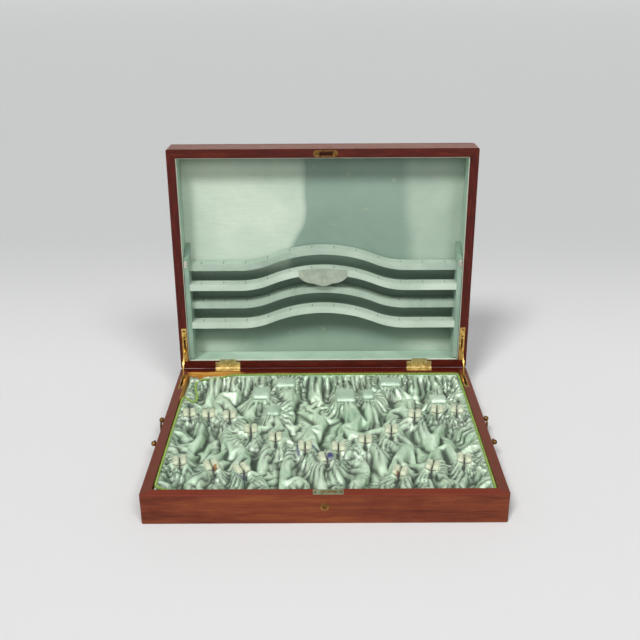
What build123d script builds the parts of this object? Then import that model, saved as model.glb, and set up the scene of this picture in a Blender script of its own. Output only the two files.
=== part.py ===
from build123d import *
import os
from math import atan, cos, degrees, pi, radians, sin, sqrt, tan

os.makedirs("parts", exist_ok=True)

# ---------------------------------------------------------------- driving dimensions (mm)
# Origin: centre of the base's underside. +X to the right, +Y to the hinges, +Z up.
width = 560.0
depth = 430.0
base_height = 52.0
lid_height = 54.0
wall = 16.0
lid_open_angle = 91.14
rim_gap = 0.2                  # between the closed rims
corner_radius = 3.0            # upright corners
foot_radius = 1.5              # lower outer edge of the base
crown_radius = 2.5             # outer edge of the lid's top
rim_radius = 0.6               # outer edge of each rim
bottom_thickness = 5.0
bottom_rebate = 8.0
fitting_board_thickness = 3.0
lid_top_thickness = 10.0
running_gap = 0.04             # radial, in every pivot
seat_gap = 0.05                # round screws, posts and plates that are let in

# soft fitting of the base
slab_top = 28.0                # padded floor
border_top = 46.0              # gathered border round the walls
border_width = 4.0
border_slope = 8.0             # degrees
border_corner = 12.0
slipped_border_top = 38.0      # where the border has come away at the rear left
slipped_width = 96.0
slipped_length = 108.0
pad_width = 10.0
pad_length = 24.0
pad_height = 18.0
pad_round = 3.5                 # upright corners
pad_top_round = 3.0
rest_round = 7.0
rest_top_round = 5.2
slit_width = 3.0
cord_radius = 1.3
cord_inset = 2.0               # cord's centre from the wall
cord_corner_radius = 6.0
cord_loose_radius = 60.0       # largest bend where it hangs loose
square_turn = 80.0             # degrees, from here on a bend is a corner
run_share = 0.45               # of a run that a bend may take up

# hinges
hinge_x = 187.7
hinge_width = 48.5
knuckles = 5
knuckle_radius = 2.6
knuckle_gap = 0.15
pin_radius = 1.0
leaf_thickness = 1.2
base_leaf_depth = 13.0
lid_leaf_depth = 14.0
lid_tab_width = 31.0
lid_tab_depth = 5.0
lid_tab_thickness = 1.0
knuckle_clearance = 0.4

# screws
screw_head_radius = 1.9
screw_head_depth = 1.1
screw_head_taper = 38.0
screw_radius = 0.95
screw_length = 9.0
screw_slot_width = 0.5
screw_slot_depth = 0.4
hinge_screw_pitch = 17.0
base_screw_line = 0.62         # share of the leaf's depth, from the rear face
lid_screw_line = 0.58

# lid stays
stay_inset = 5.5               # stays' centre line, from the opening
stay_plate_thickness = 1.4
lid_plate_width = 9.5
lid_plate_start = 15.5
lid_plate_length = 69.0
lid_slot_start = 34.0
lid_slot_length = 27.0
lid_mortise_depth = 8.0
base_plate_width = 9.0
base_plate_reach = 85.0        # from the rear face to the front end
base_plate_length = 57.0
base_slot_reach = 75.2
base_slot_length = 41.7
arm_thickness = 2.5
arm_width = 4.6
arm_radius = 41.0
arm_eye_radius = 2.8
arm_side_gap = 0.45
lug_thickness = 1.1
stay_pivot_s = 40.0            # from the hinge line along the lid's rim
stay_pivot_h = 3.0             # behind the lid's rim
foot_reach = 36.5              # from the hinge line
foot_z = 48.0
foot_pin_radius = 2.2
foot_pin_length = 6.0
stay_pocket_width = 7.0
stay_pocket_floor = 7.0
stay_pocket_reach = 84.0
stay_pocket_start = 32.5
base_stay_screw_front = 3.5    # from the plate's ends
base_stay_screw_rear = 2.6
lid_stay_screw_gap = 5.0

# handles on the ends
handle_z = 36.4
handle_spacing = 80.0
ball_offset = 9.3
ball_radius = 4.6
rosette_radius = 6.0
rosette_thickness = 1.2
stem_radius = 2.6
spigot_radius = 2.0
spigot_length = 8.0
bail_wire_radius = 1.8
bail_pin_end = 5.6              # beyond each post's centre
bail_shoulder_inset = 10.0
bail_grip_inset = 16.0
bail_drop = 26.0
bail_bend = 4.0

# lock
lock_x = 5.5
selvage_length = 46.4
selvage_width = 13.6
selvage_thickness = 1.5
selvage_setback = 0.8          # from the front face
selvage_screw_inset = 3.2
case_length = 34.0
case_floor = 12.0
case_thickness = 11.6
case_wall = 1.2
hook_x = 1.0
hook_z = 39.5
hook_setback = 8.6             # from the front face
hook_thickness = 3.0
hook_arm = 19.5
hook_half_width = 2.0
hook_tooth = 7.5
hook_tooth_width = 3.0
hook_pin_radius = 1.5
hook_boss_radius = 3.2
hook_side_gap = 0.4
hook_slot_left = -5.4
hook_slot_right = 18.3
hook_slot_width = 4.4
key_z = 30.1
key_pin_radius = 1.2
keyhole_radius = 3.2
escutcheon_radius = 6.8
escutcheon_thickness = 1.4
strike_length = 44.5
strike_width = 12.5
strike_thickness = 1.5
strike_slot_width = 7.7
strike_screw_offset = 19.2
strike_mortise_left = -12.0
strike_mortise_right = 20.0
strike_mortise_depth = 12.0

# lid lining and knife rack
lining = 1.2
lining_start = 1.6             # behind the rim
back_lining = 1.5
rail_thickness = 8.5
rail_gap = 1.3
rail_foot = 0.3                # above the lid's rear lining
rail_heel_round = 3.0
rail_front = 3.0
rail_back = 42.0
rail_crest = 245.0
shoulder_below_crest = 20.0
shoulder_lead = 6.0            # second point of the shoulder's curve
shoulder_lead_share = 0.46     # of the rail's depth
shoulder_direction = (0.1, 1)
crest_direction = (0.7, 1)
rack_pivot_s = 24.0
rack_pivot_h = 10.0
rack_pivot_radius = 2.0
rack_pivot_depth = 8.0
rack_pivot_head = 3.6
rack_tilt = 20.0
bar_height = 12.5
back_bar_front = 15.0
back_bar_back = 41.0
front_bar_front = 3.0
front_bar_back = 27.0
back_bar_levels = {"rack_bar_upper_back": 197.0, "rack_bar_lower_back": 120.7}
front_bar_levels = {"rack_bar_upper_front": 161.0, "rack_bar_lower_front": 83.8}
name_panel_bar = "rack_bar_upper_front"
arch_half_span = 158.0
arch_rise = 31.5
arch_crest_radius = 260.0
blade_slits = 12
blade_slit_width = 1.6
blade_slit_depth = 15.0
panel_half_width = 46.0
panel_lobe_half = 17.0
panel_shoulder = 12.0
panel_side_drop = 25.5
panel_centre_drop = 31.0
panel_hip_inset = 11.0
panel_join_rise = 4.0
panel_lobe_sag = 3.5
panel_thickness = 1.2
catch_width = 6.0
catch_length = 13.0
catch_below_shoulder = 11.0
catch_thickness = 1.2
catch_bead_pitch = 6.3
catch_bead_radius = 2.2
catch_bead_height = 1.2
catch_bead_taper = 30

# ---------------------------------------------------------------- places worked out from them
half_width = width / 2
half_depth = depth / 2
inner_x = half_width - wall
inner_y = half_depth - wall
lid_angle = radians(lid_open_angle)
along_lid = Vector(0, -cos(lid_angle), sin(lid_angle))     # from the hinge up the open lid
into_lid = Vector(0, sin(lid_angle), cos(lid_angle))       # from the rim to the lid's top
hinge_line = Vector(0, half_depth, base_height)
lid_wall_depth = lid_height - lid_top_thickness
stay_x = inner_x + stay_inset
bail_end = handle_spacing / 2 + bail_pin_end
bail_shoulder = handle_spacing / 2 - bail_shoulder_inset
bail_grip_half = handle_spacing / 2 - bail_grip_inset
base_plate_front = half_depth - base_plate_reach
base_slot_front = half_depth - base_slot_reach
stay_pocket_front = half_depth - stay_pocket_reach
stay_pocket_rear = half_depth - stay_pocket_start
foot_y = half_depth - foot_reach
hook_y = -half_depth + hook_setback
rail_shoulder = rail_crest - shoulder_below_crest
catch_s = rail_shoulder - catch_below_shoulder
lining_end = lid_wall_depth - back_lining
sides = {"left": -1, "right": 1}
outer_corners = [(-half_width, -half_depth), (half_width, -half_depth),
                 (half_width, half_depth), (-half_width, half_depth)]
inner_corners = [(-inner_x, -inner_y), (inner_x, -inner_y), (inner_x, inner_y), (-inner_x, inner_y)]
board_order = ["front", "right", "rear", "left"]


def lid_level(h):
    """Plane parallel to the lid's rim, h behind it: local x is X, local y runs up the open lid."""
    return Plane(origin=hinge_line + into_lid * h, x_dir=(1, 0, 0), z_dir=into_lid * -1)


def lid_section(x):
    """Plane across the lid at x: local x runs up the open lid, local y goes behind the rim."""
    return Plane(origin=hinge_line + Vector(x, 0, 0), x_dir=along_lid, z_dir=(-1, 0, 0))


def lid_point(x, s, h):
    return hinge_line + Vector(x, 0, 0) + along_lid * s + into_lid * h


def save(piece, name):
    """Label one finished piece and write it."""
    piece.part.label = name
    export_step(piece.part, "parts/" + name + ".step")


# ---------------------------------------------------------------- shared features
def discs(plane, places, radius):
    """Equal round profiles on a plane."""
    with BuildSketch(plane) as profile:
        with Locations(*places):
            Circle(radius)
    return profile.sketch


def oblongs(plane, places, length, breadth):
    """Equal rectangular profiles on a plane."""
    with BuildSketch(plane) as profile:
        with Locations(*places):
            Rectangle(length, breadth)
    return profile.sketch


def board_outline(index, plane, in_lid):
    """Mitred outline of one wall board, seen from above or, in the lid, from its rim."""
    following = (index + 1) % len(board_order)
    corners = [outer_corners[index], outer_corners[following],
               inner_corners[following], inner_corners[index]]
    if in_lid:
        corners = [(x, half_depth - y) for x, y in corners]
    with BuildSketch(plane) as outline:
        with BuildLine():
            Polyline(*corners, close=True)
        make_face()
    return outline.sketch


def screw_seats(plane, places):
    """Countersinks and pilot holes for the screws at these places."""
    head = discs(plane, places, screw_head_radius + seat_gap)
    shank = discs(plane, places, screw_radius + seat_gap)
    extrude(head, amount=-(screw_head_depth + seat_gap), taper=screw_head_taper, mode=Mode.SUBTRACT)
    extrude(shank, amount=-(screw_length + 2 * seat_gap), mode=Mode.SUBTRACT)


def screws(plane, places):
    """Slotted countersunk screws, flush with the plane."""
    extrude(discs(plane, places, screw_head_radius), amount=-screw_head_depth, taper=screw_head_taper)
    extrude(discs(plane, places, screw_radius), amount=-screw_length)
    slots = oblongs(plane, places, 2 * screw_head_radius, screw_slot_width)
    extrude(slots, amount=-screw_slot_depth, mode=Mode.SUBTRACT)


def recess(plane, centre, length, breadth, deep):
    """Rectangular pocket that a plate is let into."""
    pocket = oblongs(plane, [centre], length + 2 * seat_gap, breadth + 2 * seat_gap)
    extrude(pocket, amount=-deep, mode=Mode.SUBTRACT)


rim_plane = Plane.XY.offset(base_height)
lid_rim = lid_level(rim_gap)
hinge_centres = {"left": -hinge_x, "right": hinge_x}
base_leaf_y = half_depth - base_leaf_depth / 2
lid_leaf_s = lid_leaf_depth / 2


def base_hinge_screws(side):
    centre = hinge_centres[side]
    return [(centre + step * hinge_screw_pitch, half_depth - base_screw_line * base_leaf_depth)
            for step in (-1, 0, 1)]


def lid_hinge_screws(side):
    centre = hinge_centres[side]
    return [(centre + step * hinge_screw_pitch, lid_screw_line * lid_leaf_depth) for step in (-1, 0, 1)]


base_plate_y = base_plate_front + base_plate_length / 2
base_slot_y = base_slot_front + base_slot_length / 2
lid_plate_s = lid_plate_start + lid_plate_length / 2
lid_slot_s = lid_slot_start + lid_slot_length / 2


def base_stay_screws(side):
    x = sides[side] * stay_x
    base_plate_rear = base_plate_front + base_plate_length
    return [(x, base_plate_front + base_stay_screw_front), (x, base_plate_rear - base_stay_screw_rear)]


def lid_stay_screws(side):
    x = sides[side] * stay_x
    return [(x, lid_slot_start + lid_slot_length + lid_stay_screw_gap),
            (x, lid_plate_start + lid_plate_length - lid_stay_screw_gap)]


selvage_y = -half_depth + selvage_setback + selvage_width / 2
selvage_screw_offset = selvage_length / 2 - selvage_screw_inset
selvage_screws = [(lock_x + step * selvage_screw_offset, selvage_y) for step in (-1, 1)]
strike_s = half_depth - hook_y
strike_screws = [(lock_x + step * strike_screw_offset, strike_s) for step in (-1, 1)]
handle_ys = [-handle_spacing / 2, handle_spacing / 2]
knuckle_length = (hinge_width - (knuckles - 1) * knuckle_gap) / knuckles


def knuckle_centres(side, first):
    """Middles of every second knuckle, from the given one on."""
    start = hinge_centres[side] - hinge_width / 2 + knuckle_length / 2
    return [start + n * (knuckle_length + knuckle_gap) for n in range(first, knuckles, 2)]


def barrel_profile(x, radius):
    """Circle about the hinge line, on the cross plane at x."""
    return discs(Plane.YZ.offset(x), [(half_depth, base_height)], radius)


def barrel_notch(side):
    """Cut the hinge barrel's room out of a rear wall."""
    start = hinge_centres[side] - hinge_width / 2 - seat_gap
    notch = barrel_profile(start, knuckle_radius + knuckle_clearance)
    extrude(notch, amount=hinge_width + 2 * seat_gap, mode=Mode.SUBTRACT)


# ---------------------------------------------------------------- carcase of the base
with BuildPart() as base_blank:
    with BuildSketch():
        RectangleRounded(width, depth, corner_radius)
    extrude(amount=base_height)
    fillet(base_blank.faces().sort_by(Axis.Z)[0].outer_wire().edges(), foot_radius)
    fillet(base_blank.faces().sort_by(Axis.Z)[-1].outer_wire().edges(), rim_radius)


def base_board(index):
    """One mitred wall of the base, rebated for the bottom board."""
    extrude(board_outline(index, Plane.XY, False), amount=base_height)
    add(base_blank.part, mode=Mode.INTERSECT)
    rebate = oblongs(Plane.XY, [(0, 0)], 2 * (inner_x + bottom_rebate), 2 * (inner_y + bottom_rebate))
    extrude(rebate, amount=bottom_thickness, mode=Mode.SUBTRACT)


with BuildPart() as base_front:
    base_board(0)
    recess(rim_plane, (lock_x, selvage_y), selvage_length, selvage_width, selvage_thickness)
    with BuildSketch(rim_plane):
        with Locations((lock_x, -inner_y - case_thickness / 2)):
            Rectangle(case_length + 2 * seat_gap, case_thickness + 2 * seat_gap)
    extrude(amount=case_floor - base_height - seat_gap, mode=Mode.SUBTRACT)
    screw_seats(rim_plane, selvage_screws)
    with BuildSketch(Plane.XZ.offset(half_depth)):
        with Locations((0, key_z)):
            Circle(escutcheon_radius + seat_gap)
    extrude(amount=-escutcheon_thickness, mode=Mode.SUBTRACT)
    with BuildSketch(Plane.XZ.offset(half_depth)):
        with Locations((0, key_z)):
            Circle(keyhole_radius)
    extrude(amount=-wall, mode=Mode.SUBTRACT)
save(base_front, "base_front")

with BuildPart() as base_rear:
    base_board(2)
    for side in sides:
        recess(rim_plane, (hinge_centres[side], base_leaf_y), hinge_width, base_leaf_depth, leaf_thickness)
        barrel_notch(side)
        screw_seats(rim_plane, base_hinge_screws(side))
save(base_rear, "base_rear")

for side, sign in sides.items():
    with BuildPart() as base_side:
        base_board(board_order.index(side))
        recess(rim_plane, (sign * stay_x, base_plate_y), base_plate_width, base_plate_length,
               stay_plate_thickness)
        with BuildSketch(rim_plane):
            with Locations((sign * stay_x, (stay_pocket_front + stay_pocket_rear) / 2)):
                Rectangle(stay_pocket_width, stay_pocket_rear - stay_pocket_front)
        extrude(amount=stay_pocket_floor - base_height, mode=Mode.SUBTRACT)
        screw_seats(rim_plane, base_stay_screws(side))
        with BuildSketch(Plane.YZ.offset(sign * half_width)):
            with Locations(*[(y, handle_z) for y in handle_ys]):
                Circle(spigot_radius + seat_gap)
        extrude(amount=-sign * (spigot_length + seat_gap), mode=Mode.SUBTRACT)
    save(base_side, "base_" + side)

with BuildPart() as base_bottom:
    with BuildSketch():
        Rectangle(2 * (inner_x + bottom_rebate), 2 * (inner_y + bottom_rebate))
    extrude(amount=bottom_thickness)
save(base_bottom, "base_bottom")

# ---------------------------------------------------------------- soft fitting of the base
fitting_top = bottom_thickness + fitting_board_thickness

with BuildPart() as fitting_board:
    with BuildSketch(Plane.XY.offset(bottom_thickness)):
        Rectangle(2 * inner_x, 2 * inner_y)
    extrude(amount=fitting_board_thickness)
save(fitting_board, "fitting_board")

with BuildPart() as satin_lining:
    with BuildSketch(Plane.XY.offset(fitting_top)):
        Rectangle(2 * inner_x, 2 * inner_y)
    extrude(amount=border_top - fitting_top)
    with BuildSketch(Plane.XY.offset(border_top)):
        RectangleRounded(2 * (inner_x - border_width), 2 * (inner_y - border_width), border_corner)
    extrude(amount=slab_top - border_top, taper=border_slope, mode=Mode.SUBTRACT)
    with BuildSketch(Plane.XY.offset(border_top)):
        with Locations((-inner_x, inner_y)):
            Rectangle(slipped_width, slipped_length, align=(Align.MIN, Align.MAX))
    extrude(amount=slipped_border_top - border_top, mode=Mode.SUBTRACT)
save(satin_lining, "satin_lining")

# Each row of holders: the y it is measured from, then each holder's x, y from there, and turn from
# straight front to rear (degrees).
holder_rows = {
    "holders_rear_row": (inner_y, [(-242, -142, 8), (-207, -146, 7), (-169, -150, 6),
                                   (163, -149, -6), (205, -133, -7), (241, -133, -8)]),
    "holders_middle_row": (0, [(-127.5, 0, 4), (-83, -28, 3), (-32, -56, 2), (3, -91, 12),
                               (24, -60, -1), (70, -35, -3), (117, -4, -4)]),
    "holders_front_row": (-inner_y, [(-236, 98, 9), (-182.5, 84, 22), (-133, 74, 27),
                                     (121, 65, -18), (175, 80, -18), (229, 101, -9)]),
}
# Each rest: centre x, centre y from the rear wall, width, length.
bowl_rest_places = [(-117, -68, 32, 40), (-73, -27, 38, 30), (-91, -135, 24, 32), (41, -78, 36, 46),
                    (128, -25, 40, 30), (83, -74, 22, 32), (211.5, -95, 30, 26)]

for row, (row_y, holders) in holder_rows.items():
    with BuildPart() as holder_row:
        with BuildSketch(Plane.XY.offset(slab_top)):
            for x, y, turn in holders:
                with Locations(Location((x, row_y + y, 0), turn)):
                    with GridLocations(pad_width + slit_width, 0, 2, 1):
                        RectangleRounded(pad_width, pad_length, pad_round)
        extrude(amount=pad_height)
        fillet(holder_row.faces().filter_by(Axis.Z).group_by(Axis.Z)[-1].edges(), pad_top_round)
    save(holder_row, row)

with BuildPart() as bowl_rests:
    with BuildSketch(Plane.XY.offset(slab_top)):
        for x, y, rest_width, rest_length in bowl_rest_places:
            with Locations((x, inner_y + y)):
                RectangleRounded(rest_width, rest_length, rest_round)
    extrude(amount=pad_height)
    fillet(bowl_rests.faces().filter_by(Axis.Z).group_by(Axis.Z)[-1].edges(), rest_top_round)
save(bowl_rests, "bowl_rests")

# The trim cord lies on the border, and hangs loose where the border has slipped at the rear left.
cord_x = inner_x - cord_inset
cord_y = inner_y - cord_inset
cord_z = border_top + cord_radius + seat_gap
# Its loose curl: x and y from the rear left corner of its line, and z.
cord_curl = [(75, -2, 45.5), (64, -7, 43.5), (41, -8, 42), (22, -11, 41.5), (16, -25, 41.5), (17, -44, 41.5),
             (23, -64, 42), (27, -84, 43), (26.5, -103, 44.5), (19, -106.5, 45), (10, -95, 46), (3, -89, 47)]
curl_start = 94.0              # along the rear wall
curl_end = -103.0              # along the left wall
cord_route = [(lock_x + 1, -cord_y, cord_z), (cord_x, -cord_y, cord_z), (cord_x, cord_y, cord_z),
              (curl_start - cord_x, cord_y, cord_z), *[(x - cord_x, y + cord_y, z) for x, y, z in cord_curl],
              (-cord_x, cord_y + curl_end, cord_z), (-cord_x, -cord_y, cord_z), (lock_x, -cord_y, cord_z)]


def bend_radius(before, point, after):
    """Largest arc that the two runs at a point of the route leave room for."""
    run_in = Vector(*point) - Vector(*before)
    run_out = Vector(*after) - Vector(*point)
    turn = run_in.get_angle(run_out)
    return min(run_share * min(run_in.length, run_out.length) / tan(radians(turn / 2)),
               cord_corner_radius if turn > square_turn else cord_loose_radius)


cord_bends = [bend_radius(*cord_route[n - 1:n + 2]) for n in range(1, len(cord_route) - 1)]
print("cord bend radii", [round(radius, 1) for radius in cord_bends])

with BuildPart() as lining_cord:
    with BuildLine() as cord_path:
        FilletPolyline(*cord_route, radius=cord_bends)
    with BuildSketch(Plane(origin=cord_route[0], z_dir=(1, 0, 0))):
        Circle(cord_radius)
    sweep(path=cord_path.wire())
print("cord volume", round(lining_cord.part.volume), "from length",
      round(cord_path.wire().length * pi * cord_radius ** 2))
save(lining_cord, "lining_cord")

# ---------------------------------------------------------------- lock
case_front = -inner_y - case_thickness
selvage_bottom = base_height - selvage_thickness

with BuildPart() as lock_case:
    with BuildSketch(Plane.XY.offset(case_floor)):
        with Locations((lock_x, -inner_y - case_thickness / 2)):
            Rectangle(case_length, case_thickness)
    extrude(amount=selvage_bottom - case_floor)
    with BuildSketch(Plane.XY.offset(case_floor + case_wall)):
        with Locations((lock_x, hook_y)):
            Rectangle(case_length - 2 * case_wall, hook_thickness + 2 * hook_side_gap)
    extrude(amount=selvage_bottom - case_floor - case_wall, mode=Mode.SUBTRACT)
    with BuildSketch(Plane.XZ.offset(-hook_y - hook_thickness / 2 - hook_side_gap)):
        with Locations((hook_x, hook_z)):
            Circle(hook_pin_radius)
    extrude(amount=hook_thickness + 2 * hook_side_gap)
    with BuildSketch(Plane.XZ.offset(-case_front)):
        with Locations((0, key_z)):
            Circle(key_pin_radius)
    extrude(amount=half_depth + case_front - selvage_setback)
save(lock_case, "lock_case")

with BuildPart() as lock_selvage:
    with BuildSketch(rim_plane):
        with Locations((lock_x, selvage_y)):
            Rectangle(selvage_length, selvage_width)
    extrude(amount=-selvage_thickness)
    with BuildSketch(rim_plane):
        with Locations(((hook_slot_left + hook_slot_right) / 2, hook_y)):
            Rectangle(hook_slot_right - hook_slot_left, hook_slot_width)
    extrude(amount=-selvage_thickness, mode=Mode.SUBTRACT)
    screw_seats(rim_plane, selvage_screws)
save(lock_selvage, "lock_selvage")

with BuildPart() as lock_hook:
    with BuildSketch(Plane.XZ.offset(-hook_y - hook_thickness / 2)):
        with BuildLine():
            Polyline((hook_x, hook_z - hook_half_width), (hook_x + hook_arm, hook_z - hook_half_width),
                     (hook_x + hook_arm, hook_z + hook_tooth),
                     (hook_x + hook_arm - hook_tooth_width, hook_z + hook_tooth),
                     (hook_x + hook_arm - hook_tooth_width, hook_z + hook_half_width),
                     (hook_x, hook_z + hook_half_width), close=True)
        make_face()
        with Locations((hook_x, hook_z)):
            Circle(hook_boss_radius)
            Circle(hook_pin_radius + running_gap, mode=Mode.SUBTRACT)
    extrude(amount=hook_thickness)
save(lock_hook, "lock_hook")

with BuildPart() as lock_screws:
    screws(rim_plane, selvage_screws)
save(lock_screws, "lock_screws")

with BuildPart() as escutcheon:
    with BuildSketch(Plane.XZ.offset(half_depth)):
        with Locations((0, key_z)):
            Circle(escutcheon_radius)
            Circle(keyhole_radius, mode=Mode.SUBTRACT)
    extrude(amount=-escutcheon_thickness)
save(escutcheon, "escutcheon")

# ---------------------------------------------------------------- hinges
tongue_start = knuckle_radius + knuckle_clearance


def barrel(side, first):
    """Knuckles of one leaf, bored for the pin."""
    for x in knuckle_centres(side, first):
        extrude(barrel_profile(x - knuckle_length / 2, knuckle_radius), amount=knuckle_length)
    bore = barrel_profile(hinge_centres[side] - hinge_width / 2, pin_radius + running_gap)
    extrude(bore, amount=hinge_width, mode=Mode.SUBTRACT)


for side in sides:
    with BuildPart() as base_leaf:
        with BuildSketch(rim_plane):
            with Locations((hinge_centres[side], half_depth - base_leaf_depth)):
                Rectangle(hinge_width, base_leaf_depth - tongue_start, align=(Align.CENTER, Align.MIN))
            for x in knuckle_centres(side, 0):
                with Locations((x, half_depth - tongue_start)):
                    Rectangle(knuckle_length, tongue_start, align=(Align.CENTER, Align.MIN))
        extrude(amount=-leaf_thickness)
        barrel(side, 0)
        screw_seats(rim_plane, base_hinge_screws(side))
    save(base_leaf, "hinge_base_leaf_" + side)

    with BuildPart() as lid_leaf:
        with BuildSketch(lid_rim):
            with Locations((hinge_centres[side], tongue_start)):
                Rectangle(hinge_width, lid_leaf_depth - tongue_start, align=(Align.CENTER, Align.MIN))
            for x in knuckle_centres(side, 1):
                with Locations((x, 0)):
                    Rectangle(knuckle_length, tongue_start, align=(Align.CENTER, Align.MIN))
        extrude(amount=-leaf_thickness)
        with BuildSketch(lid_rim):
            with Locations((hinge_centres[side], lid_leaf_depth)):
                Rectangle(lid_tab_width, lid_tab_depth, align=(Align.CENTER, Align.MIN))
        extrude(amount=-lid_tab_thickness)
        barrel(side, 1)
        screw_seats(lid_rim, lid_hinge_screws(side))
    save(lid_leaf, "hinge_lid_leaf_" + side)

with BuildPart() as hinge_pins:
    for side in sides:
        with BuildSketch(Plane.YZ.offset(hinge_centres[side] - hinge_width / 2)):
            with Locations((half_depth, base_height)):
                Circle(pin_radius)
        extrude(amount=hinge_width)
save(hinge_pins, "hinge_pins")

with BuildPart() as hinge_base_screws:
    for side in sides:
        screws(rim_plane, base_hinge_screws(side))
save(hinge_base_screws, "hinge_base_screws")

with BuildPart() as hinge_lid_screws:
    for side in sides:
        screws(lid_rim, lid_hinge_screws(side))
save(hinge_lid_screws, "hinge_lid_screws")

# ---------------------------------------------------------------- lid stays
stay_pivot = lid_point(0, stay_pivot_s, stay_pivot_h)
arm_slot_width = arm_thickness + 2 * arm_side_gap
lug_outer = arm_slot_width / 2 + lug_thickness

for side, sign in sides.items():
    with BuildPart() as base_plate:
        with BuildSketch(rim_plane):
            with Locations((sign * stay_x, base_plate_y)):
                Rectangle(base_plate_width, base_plate_length)
            with Locations((sign * stay_x, base_slot_y)):
                Rectangle(arm_slot_width, base_slot_length, mode=Mode.SUBTRACT)
        extrude(amount=-stay_plate_thickness)
        screw_seats(rim_plane, base_stay_screws(side))
    save(base_plate, "stay_base_plate_" + side)

    with BuildPart() as lid_plate:
        with BuildSketch(lid_rim):
            with Locations((sign * stay_x, lid_plate_s)):
                Rectangle(lid_plate_width, lid_plate_length)
        extrude(amount=-stay_plate_thickness)
        with BuildSketch(lid_section(sign * stay_x + lug_outer)):
            with Locations((stay_pivot_s, stay_pivot_h)):
                Circle(arm_eye_radius)
        extrude(amount=2 * lug_outer)
        with BuildSketch(lid_level(0)):
            with Locations((sign * stay_x, lid_slot_s)):
                Rectangle(arm_slot_width, lid_slot_length)
        extrude(amount=-lid_mortise_depth, mode=Mode.SUBTRACT)
        with BuildSketch(lid_section(sign * stay_x + lug_outer)):
            with Locations((stay_pivot_s, stay_pivot_h)):
                Circle(pin_radius + running_gap)
        extrude(amount=2 * lug_outer, mode=Mode.SUBTRACT)
        screw_seats(lid_rim, lid_stay_screws(side))
    save(lid_plate, "stay_lid_plate_" + side)

    with BuildPart() as arm:
        with BuildLine(mode=Mode.PRIVATE) as arm_line:
            RadiusArc((stay_pivot.Y, stay_pivot.Z), (foot_y, foot_z), -arm_radius)
        with BuildSketch(Plane.YZ.offset(sign * stay_x - arm_thickness / 2)):
            SlotArc(arm_line.edge(), arm_width)
            with Locations((stay_pivot.Y, stay_pivot.Z)):
                Circle(arm_eye_radius)
                Circle(pin_radius + running_gap, mode=Mode.SUBTRACT)
        extrude(amount=arm_thickness)
        with BuildSketch(Plane.YZ.offset(sign * stay_x - foot_pin_length / 2)):
            with Locations((foot_y, foot_z)):
                Circle(foot_pin_radius)
        extrude(amount=foot_pin_length)
    save(arm, "stay_arm_" + side)

with BuildPart() as stay_pivot_pins:
    for sign in sides.values():
        with BuildSketch(Plane.YZ.offset(sign * stay_x - lug_outer)):
            with Locations((stay_pivot.Y, stay_pivot.Z)):
                Circle(pin_radius)
        extrude(amount=2 * lug_outer)
save(stay_pivot_pins, "stay_pivot_pins")

with BuildPart() as stay_base_screws:
    for side in sides:
        screws(rim_plane, base_stay_screws(side))
save(stay_base_screws, "stay_base_screws")

with BuildPart() as stay_lid_screws:
    for side in sides:
        screws(lid_rim, lid_stay_screws(side))
save(stay_lid_screws, "stay_lid_screws")

# ---------------------------------------------------------------- handles
for side, sign in sides.items():
    ball_x = half_width + ball_offset
    with BuildPart() as posts:
        for y in handle_ys:
            with BuildSketch(Plane.XZ.offset(-y)):
                with BuildLine():
                    Polyline((sign * (half_width - spigot_length), handle_z),
                             (sign * (half_width - spigot_length), handle_z + spigot_radius),
                             (sign * half_width, handle_z + spigot_radius),
                             (sign * half_width, handle_z + rosette_radius),
                             (sign * (half_width + rosette_thickness), handle_z + rosette_radius),
                             (sign * (half_width + rosette_thickness), handle_z + stem_radius),
                             (sign * ball_x, handle_z + stem_radius),
                             (sign * ball_x, handle_z), close=True)
                make_face()
            revolve(axis=Axis((0, y, handle_z), (1, 0, 0)))
            with Locations((sign * ball_x, y, handle_z)):
                Sphere(ball_radius)
            with Locations(Location((sign * ball_x, y, handle_z), (90, 0, 0))):
                Cylinder(bail_wire_radius + running_gap, 3 * ball_radius, mode=Mode.SUBTRACT)
    save(posts, "handle_posts_" + side)

    with BuildPart() as bail:
        with BuildLine() as bail_path:
            FilletPolyline((sign * ball_x, -bail_end, handle_z),
                           (sign * ball_x, -bail_shoulder, handle_z),
                           (sign * ball_x, -bail_grip_half, handle_z - bail_drop),
                           (sign * ball_x, bail_grip_half, handle_z - bail_drop),
                           (sign * ball_x, bail_shoulder, handle_z),
                           (sign * ball_x, bail_end, handle_z), radius=bail_bend)
        with BuildSketch(Plane(origin=(sign * ball_x, -bail_end, handle_z), z_dir=(0, 1, 0))):
            Circle(bail_wire_radius)
        sweep(path=bail_path.wire())
    save(bail, "bail_" + side)

# ---------------------------------------------------------------- lid
with BuildPart() as lid_blank:
    with BuildSketch(lid_rim):
        with Locations((0, half_depth)):
            RectangleRounded(width, depth, corner_radius)
    extrude(amount=rim_gap - lid_height)
    fillet(lid_blank.faces().sort_by(Axis((0, 0, 0), into_lid))[-1].outer_wire().edges(), crown_radius)
    fillet(lid_blank.faces().sort_by(Axis((0, 0, 0), into_lid))[0].outer_wire().edges(), rim_radius)


def lid_board(index):
    """One mitred wall of the lid."""
    extrude(board_outline(index, lid_rim, True), amount=rim_gap - lid_wall_depth)
    add(lid_blank.part, mode=Mode.INTERSECT)


with BuildPart() as lid_front:
    lid_board(0)
    with BuildSketch(lid_rim):
        with Locations((lock_x, strike_s)):
            SlotOverall(strike_length + 2 * seat_gap, strike_width + 2 * seat_gap)
    extrude(amount=-strike_thickness, mode=Mode.SUBTRACT)
    with BuildSketch(lid_rim):
        with Locations(((strike_mortise_left + strike_mortise_right) / 2, strike_s)):
            Rectangle(strike_mortise_right - strike_mortise_left, strike_slot_width)
    extrude(amount=-strike_mortise_depth, mode=Mode.SUBTRACT)
    screw_seats(lid_rim, strike_screws)
save(lid_front, "lid_front")

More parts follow.
